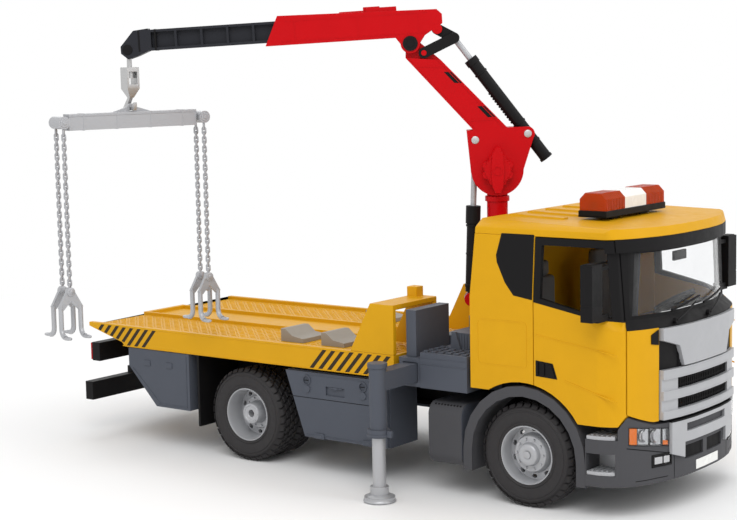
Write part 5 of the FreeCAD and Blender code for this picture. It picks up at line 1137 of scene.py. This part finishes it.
def boom_patches(form, thick, *shares):
    """Flat patches on both faces of the main boom, by shares of its length and its depth."""
    for side in (-1, 1):
        for t0, t1, s0, s1 in shares:
            form.prism([on_line(on_line(*BOOM_UPPER, t), on_line(*BOOM_LOWER, t), s)
                        for t, s in ((t0, s0), (t1, s0), (t1, s1), (t0, s1))],
                       side * BOOM_FACE, side * (BOOM_FACE + thick))


def cylinder_rings(form, foot, eye, *rings):
    """Rings on a cylinder, each from and to a distance from its foot, with a radius."""
    start = Vector(foot)
    way = (Vector(eye) - start).normalized()
    for low, high, radius in rings:
        form.tube([(p.x, 0, p.y) for p in (start + way * low, start + way * high)], radius, 28)


def knob(form):
    z = HEAD_Z
    form.disc((0, z), 8.6, -15, -14.3, "y", 40, 0.4)
    form.prism([(-3.6, z - 11), (-1.4, z - 15.6), (1.4, z - 15.6), (3.6, z - 11), (4.4, z),
                (3.6, z + 11), (1.4, z + 15.6), (-1.4, z + 15.6), (-3.6, z + 11),
                (-4.4, z)], -14.2, -16.8, inset=0.5)
    form.lathe([(2.4, -16.7), (3.3, -16.7), (3.3, -17.2), (2.4, -17.2)], (0, z), steps=24)
    for t in turns(24):
        form.disc((8.9 * math.cos(t), z + 8.9 * math.sin(t)), 0.45, -14.9, -7.6, "y", 6, 0.1)
    form.disc((0, z), 7, 7.4, 8.4, "y", 32, 0.4)
    form.disc((0, z), 3.4, 8.4, 9.2)


def boom_pins(form):
    for point in (LIFT_EYE, FOLD_FOOT):
        form.disc(point, 2.6, -8.1, -7.3, "y", 18)
        form.disc(point, 2.6, 7.3, 8.1, "y", 18)


def fold_barrel(form):
    cylinder_rings(form, FOLD_FOOT, FOLD_APEX, (-21.3, -19.5, 4.5), (-8, -6.4, 4.5),
                   (8, 9.5, 4.5), (FOLD_LONG - 30, FOLD_LONG - 28.6, 4.6),
                   (FOLD_LONG - 22, FOLD_LONG - 17.6, 4.6))
    start = Vector(FOLD_FOOT)
    way = (Vector(FOLD_APEX) - start).normalized()
    across = Vector((-way.y, way.x))
    for i in range(12):
        form.disc(start + way * (12 + 2.2 * i) + across * 4, 0.8, -1.6, 1.6, "y", 8, 0.2)


def boom_borders(form):
    for side in (-1, 1):
        y0, y1 = side * BOOM_FACE, side * 7.7
        form.boxes((-85, 12, y0, y1, 6.4, 7), (-82, 12, y0, y1, 19.6, 20.2),
                   *((x, x + 0.6, y0, y1, 7, 19.6) for x in (-76, -34, 6)))


def elbow_caps(form):
    for side in (-1, 1):
        form.disc((0, 0), 4.6, side * 7.6, side * 8.4, "y", 28, 0.3)
        form.disc((0, 0), 2.2, side * 8.3, side * 8.8, "y", 20, 0.2)


def tip_rings(form):
    for x in (-181, -170):
        form.boxes((x, x + 1.2, -5.6, 5.6, 6.3, 20.6))
    form.disc((-188.5, 8), 3.4, -6, -5.3, "y", 22)
    form.disc((-188.5, 8), 3.4, 5.3, 6, "y", 22)


def mast_rings(form):
    for low, high, radius in ((111, 113.5, 11), (113.5, 116, 9.2), (126, 127.2, 7.6),
                              (146, 147.2, 7.6), (166, 167.2, 7.6), (184, 187.5, 8.2)):
        form.disc((0, 0), radius, low, high, "z", 40, 0.3)
    for t in turns(8):
        form.disc((12.4 * math.cos(t), 12.4 * math.sin(t)), 1.3, 111, 112.4, "z", 6, 0.2)


class TRUCK_OT_crane(bpy.types.Operator):
    """Wing knob, rings, painted shade for the boom's slots, border lines, pins and caps of the
    loader crane
    """
    bl_idname = "truck.crane"
    bl_label = "Crane"

    def execute(self, context):
        crane, tele = (CRANE,), (TELE,)
        piece("boom_knob", "main_boom", "red moulding", knob, 0.3, crane)
        # The dark patches on the main boom's faces are painted shade, standing in for the depth
        # of its slots.
        piece("boom_slots", "main_boom", "dark mesh", lambda f: boom_patches(
            f, 0.22, (0.16, 0.32, 0.04, 0.26), (0.66, 0.82, 0.04, 0.26)), 0, crane)
        piece("boom_borders", "main_boom", "red moulding", lambda f: boom_patches(
            f, 0.35, (0, 1, 0.1, 0.125), (0, 1, 0.9, 0.925), (0.12, 0.138, 0.1, 0.9),
            (0.88, 0.898, 0.1, 0.9)), 0, crane)
        piece("boom_pins", "main_boom", "steel", boom_pins, 0, crane)
        piece("lift_barrel_rings", "lift_barrel", "black moulding", lambda f: cylinder_rings(
            f, LIFT_FOOT, LIFT_EYE, (8, 10, 4.6), (30, 31.2, 4.4), (49, 50.5, 4.7),
            (60.8, 62.4, 4.7)), 0.2, crane)
        piece("fold_barrel_rings", "fold_barrel", "black moulding", fold_barrel, 0.15, crane)
        piece("second_boom_borders", "second_boom", "red moulding", boom_borders, 0, tele)
        piece("second_boom_cover", "second_boom", "red moulding", lambda f: f.boxes(
            (-46, -16, -4.6, 4.6, 22.4, 23.6), (-30, -19, -3.8, 3.8, 23.4, 25.8)),
            0.4, tele)
        piece("elbow_caps", "second_boom", "black moulding", elbow_caps, 0, tele)
        piece("extension_tip_rings", "extension", "black moulding", tip_rings, 0.15, tele)
        piece("mast_rings", "column", "red moulding", mast_rings, 0.1, crane)
        return {"FINISHED"}


# Lifting gear

CHAIN_TOP = 238.59
CHAIN_END = 134.39
CHAIN_PITCH = 3.2
CHAIN_AT = tuple((s * 5.2, e * 54) for s in (-1, 1) for e in (-1, 1))
BEAM_AXIS_Z = 242.84
CRADLE_TOP = 134.3
PRONG_BEND_Z = 107.5
PRONG_BEND_R = 5.2
PRONG_FOOT_Z = 102.1


def beam_ribs(form):
    x = HARNESS_X
    for y in (-38, -13, 13, 38):
        form.boxes((x - 4.2, x + 4.2, y - 0.5, y + 0.5, 237.2, 248.45))
    for y in (-54, 54):
        form.disc((y, BEAM_AXIS_Z), 3, x - 7.5, x + 7.5, "x", 20)
        form.disc((y, BEAM_AXIS_Z), 1.5, x - 8, x + 8, "x", 14)
    for s in (-1, 1):
        form.prism([(s * 2, 248), (s * 16, 248), (s * 2, 252)], x - 0.7, x + 0.7,
                   "x")
    form.boxes((x - 4.3, x + 4.3, -49, 49, 246.4, 246.9))


class TRUCK_OT_beam(bpy.types.Operator):
    """Ribs, seam, end caps and gussets of the lifting beam"""
    bl_idname = "truck.beam"
    bl_label = "Beam"

    def execute(self, context):
        piece("beam_ribs", "harness", "silver moulding", beam_ribs, 0.15, (HARNESS,))
        return {"FINISHED"}


def chain_link(form, x, y, z, wire, turn):
    """One closed link in an upright plane turned about its chain's line."""
    path = []
    for t in turns(10, 0.5):
        u = 1.15 * math.cos(t)
        v = 1.15 * math.sin(t) + math.copysign(1.2, math.sin(t))
        path.append((x + u * math.cos(turn), y + u * math.sin(turn), z + v))
    form.tube(path, wire, 5, closed=True)


def chains(form):
    wire = size("chain_wire")
    long = CHAIN_TOP - CHAIN_END
    count = int(long / CHAIN_PITCH)
    for x, y in CHAIN_AT:
        for i in range(count + 1):
            z = CHAIN_TOP - 2.2 - (long - 2.4) * i / count
            chain_link(form, HARNESS_X + x, y, z, wire, math.radians(45 if i % 2 else -45))


class TRUCK_OT_chains(bpy.types.Operator):
    """Four hanging chains of small twisted links"""
    bl_idname = "truck.chains"
    bl_label = "Chains"

    def execute(self, context):
        piece("chains_fine", "harness", "silver moulding", chains, 0, (HARNESS,),
              ["lifting_chains"])
        return {"FINISHED"}


def cradles(form):
    top = CRADLE_TOP
    for at, y in CHAIN_AT:
        x = HARNESS_X + at
        form.disc((y, top - 2.6), 3, x - 1.9, x + 1.9, "x", 20)
        form.disc((y, top - 2.6), 1.3, x - 2.3, x + 2.3, "x", 12)
        form.prism([(y - 2.6, top - 2), (y + 2.6, top - 2), (y + 8.8, top - 13),
                    (y + 5.6, top - 14.5), (y, top - 8.5), (y - 5.6, top - 14.5),
                    (y - 8.8, top - 13)], x - 1.3, x + 1.3, "x")
        for s in (-1, 1):
            prong(form, x, y + s * 7.2, 1 if at > 0 else -1)


def prong(form, x, y, way):
    path = [(x, y, CRADLE_TOP - 12)]
    for i in range(7):
        t = math.radians(90 * i / 6)
        path.append((x + way * PRONG_BEND_R * (1 - math.cos(t)), y,
                     PRONG_BEND_Z - PRONG_BEND_R * math.sin(t)))
    form.tube(path, 1.7)
    form.tube([(x + way * (8.2 + 3 * math.cos(t)), y + 1.6 * math.sin(t), PRONG_FOOT_Z)
               for t in turns(16)], 0.9, 8, closed=True)


class TRUCK_OT_cradles(bpy.types.Operator):
    """Wheel cradles with a pivot boss, a plate and two bent prongs with looped feet"""
    bl_idname = "truck.cradles"
    bl_label = "Cradles"

    def execute(self, context):
        piece("cradles_round", "harness", "silver moulding", cradles, 0, (HARNESS,),
              ["wheel_cradles"])
        return {"FINISHED"}


# Stage

LAMPS = (
    ("key lamp", (0.9, -1.3, 1.6), 1.4, 17.0),
    ("fill lamp", (1.7, 0.5, 1.1), 1.3, 8.0),
    ("back lamp", (-1.3, 1.0, 1.5), 1.2, 8.0),
)
LAMP_AIM = (0.1, 0, 0.1)
CAMERA_AT = (0.79256, -0.97109, 0.28429)
CAMERA_TURN_DEG = (37.29, 6.85, -1.13)
FLOOR_R = 4.0


def add_camera(scene):
    camera = bpy.data.cameras.new("camera")
    camera.lens = 84.18
    camera.sensor_width = 36.0
    camera.sensor_fit = "HORIZONTAL"
    camera.clip_start = 0.01
    azimuth, pitch, roll = (math.radians(degrees) for degrees in CAMERA_TURN_DEG)
    ahead = Vector((-math.sin(azimuth) * math.cos(pitch), math.cos(azimuth) * math.cos(pitch),
                    -math.sin(pitch)))
    level = Vector((math.cos(azimuth), math.sin(azimuth), 0))
    upright = level.cross(ahead)
    right = level * math.cos(roll) + upright * math.sin(roll)
    up = upright * math.cos(roll) - level * math.sin(roll)
    turn = Matrix((right, up, -ahead)).transposed().to_4x4()
    made = bpy.data.objects.new("camera", camera)
    made.matrix_world = Matrix.Translation(CAMERA_AT) @ turn
    scene.collection.objects.link(made)
    scene.camera = made


def add_lamp(scene, name, place, wide, power):
    data = bpy.data.lights.new(name, "AREA")
    data.shape = "DISK"
    data.size = wide
    data.energy = power
    made = bpy.data.objects.new(name, data)
    made.location = place
    way = Vector(LAMP_AIM) - Vector(place)
    made.rotation_euler = way.to_track_quat("-Z", "Y").to_euler()
    scene.collection.objects.link(made)


def add_floor(scene):
    """A pale floor under the truck that fades into the white around it."""
    mesh = bpy.data.meshes.new("floor")
    bm = bmesh.new()
    bm.faces.new([bm.verts.new((FLOOR_R * math.cos(t), FLOOR_R * math.sin(t), -0.0002))
                  for t in turns(32)])
    bm.to_mesh(mesh)
    bm.free()
    made = bpy.data.objects.new("floor", mesh)
    scene.collection.objects.link(made)
    stuff = bpy.data.materials.new("pale floor")
    stuff.use_nodes = True
    mesh.materials.append(stuff)
    tree = stuff.node_tree
    shader = tree.nodes["Principled BSDF"]
    set_values(shader, {"Base Color": (0.93, 0.93, 0.93, 1), "Roughness": 0.9,
                        "Specular IOR Level": 0.0})
    white = node(tree, "ShaderNodeEmission", {"Color": (1, 1, 1, 1)})
    reach = node(tree, "ShaderNodeVectorMath")
    reach.operation = "LENGTH"
    fade = node(tree, "ShaderNodeMapRange", {"From Min": 0.35, "From Max": 0.9,
                                             "To Min": 0.0, "To Max": 1.0})
    place = node(tree, "ShaderNodeTexCoord").outputs["Object"]
    tree.links.new(place, reach.inputs[0])
    tree.links.new(reach.outputs["Value"], fade.inputs["Value"])
    blend(tree, fade.outputs["Result"], shader, white, tree.nodes["Material Output"])


def add_world(scene):
    """White to the eye and in reflections, a softer white as a light."""
    made = bpy.data.worlds.new("studio")
    scene.world = made
    made.use_nodes = True
    tree = made.node_tree
    soft = tree.nodes["Background"]
    set_values(soft, {"Color": (1, 1, 1, 1), "Strength": 0.75})
    white = node(tree, "ShaderNodeBackground", {"Color": (1, 1, 1, 1), "Strength": 1.0})
    rays = node(tree, "ShaderNodeLightPath").outputs
    share = rays["Is Camera Ray"]
    for kind in ("Is Glossy Ray", "Is Transmission Ray"):
        either = node(tree, "ShaderNodeMath")
        either.operation = "MAXIMUM"
        tree.links.new(share, either.inputs[0])
        tree.links.new(rays[kind], either.inputs[1])
        share = either.outputs["Value"]
    blend(tree, share, soft, white, tree.nodes["World Output"])


class TRUCK_OT_stage(bpy.types.Operator):
    """Pale floor, soft lamps and the camera at the photograph's angle"""
    bl_idname = "truck.stage"
    bl_label = "Stage"

    def execute(self, context):
        scene = context.scene
        scene.view_settings.view_transform = "Standard"
        add_camera(scene)
        add_floor(scene)
        add_world(scene)
        for lamp in LAMPS:
            add_lamp(scene, *lamp)
        return {"FINISHED"}


def blend(tree, share, first, second, end):
    """Mixes two shaders into the tree's output."""
    mix = node(tree, "ShaderNodeMixShader")
    tree.links.new(share, mix.inputs["Fac"])
    tree.links.new(first.outputs[0], mix.inputs[1])
    tree.links.new(second.outputs[0], mix.inputs[2])
    tree.links.new(mix.outputs[0], end.inputs["Surface"])


OPERATORS = (
    TRUCK_OT_stage,
    TRUCK_OT_finishes,
    TRUCK_OT_tyres,
    TRUCK_OT_rims,
    TRUCK_OT_deck,
    TRUCK_OT_bed_fittings,
    TRUCK_OT_boxes,
    TRUCK_OT_steps,
    TRUCK_OT_underside,
    TRUCK_OT_headlamps,
    TRUCK_OT_nose,
    TRUCK_OT_cab_sides,
    TRUCK_OT_cab_inside,
    TRUCK_OT_light_bar,
    TRUCK_OT_crane,
    TRUCK_OT_beam,
    TRUCK_OT_chains,
    TRUCK_OT_cradles,
)


class TRUCK_PT_looks(bpy.types.Panel):
    """Lists the steps, sizes and colours of the truck's looks"""
    bl_idname = "TRUCK_PT_looks"
    bl_label = "Tow truck looks"
    bl_space_type = "VIEW_3D"
    bl_region_type = "UI"
    bl_category = "Tow truck"

    def draw(self, context):
        layout = self.layout
        for step in OPERATORS:
            layout.operator(step.bl_idname)
        for group in (context.scene.truck_sizes, context.scene.truck_colours):
            for key in type(group).__annotations__:
                layout.prop(group, key)


CLASSES = (TruckColours, TruckSizes) + OPERATORS + (TRUCK_PT_looks,)


def register():
    for item in CLASSES:
        bpy.utils.register_class(item)
    bpy.types.Scene.truck_sizes = bpy.props.PointerProperty(type=TruckSizes)
    bpy.types.Scene.truck_colours = bpy.props.PointerProperty(type=TruckColours)


def unregister():
    del bpy.types.Scene.truck_colours
    del bpy.types.Scene.truck_sizes
    for item in reversed(CLASSES):
        bpy.utils.unregister_class(item)


def main():
    register()
    for step in OPERATORS:
        group, name = step.bl_idname.split(".")
        getattr(getattr(bpy.ops, group), name)()


if __name__ == "__main__":
    main()
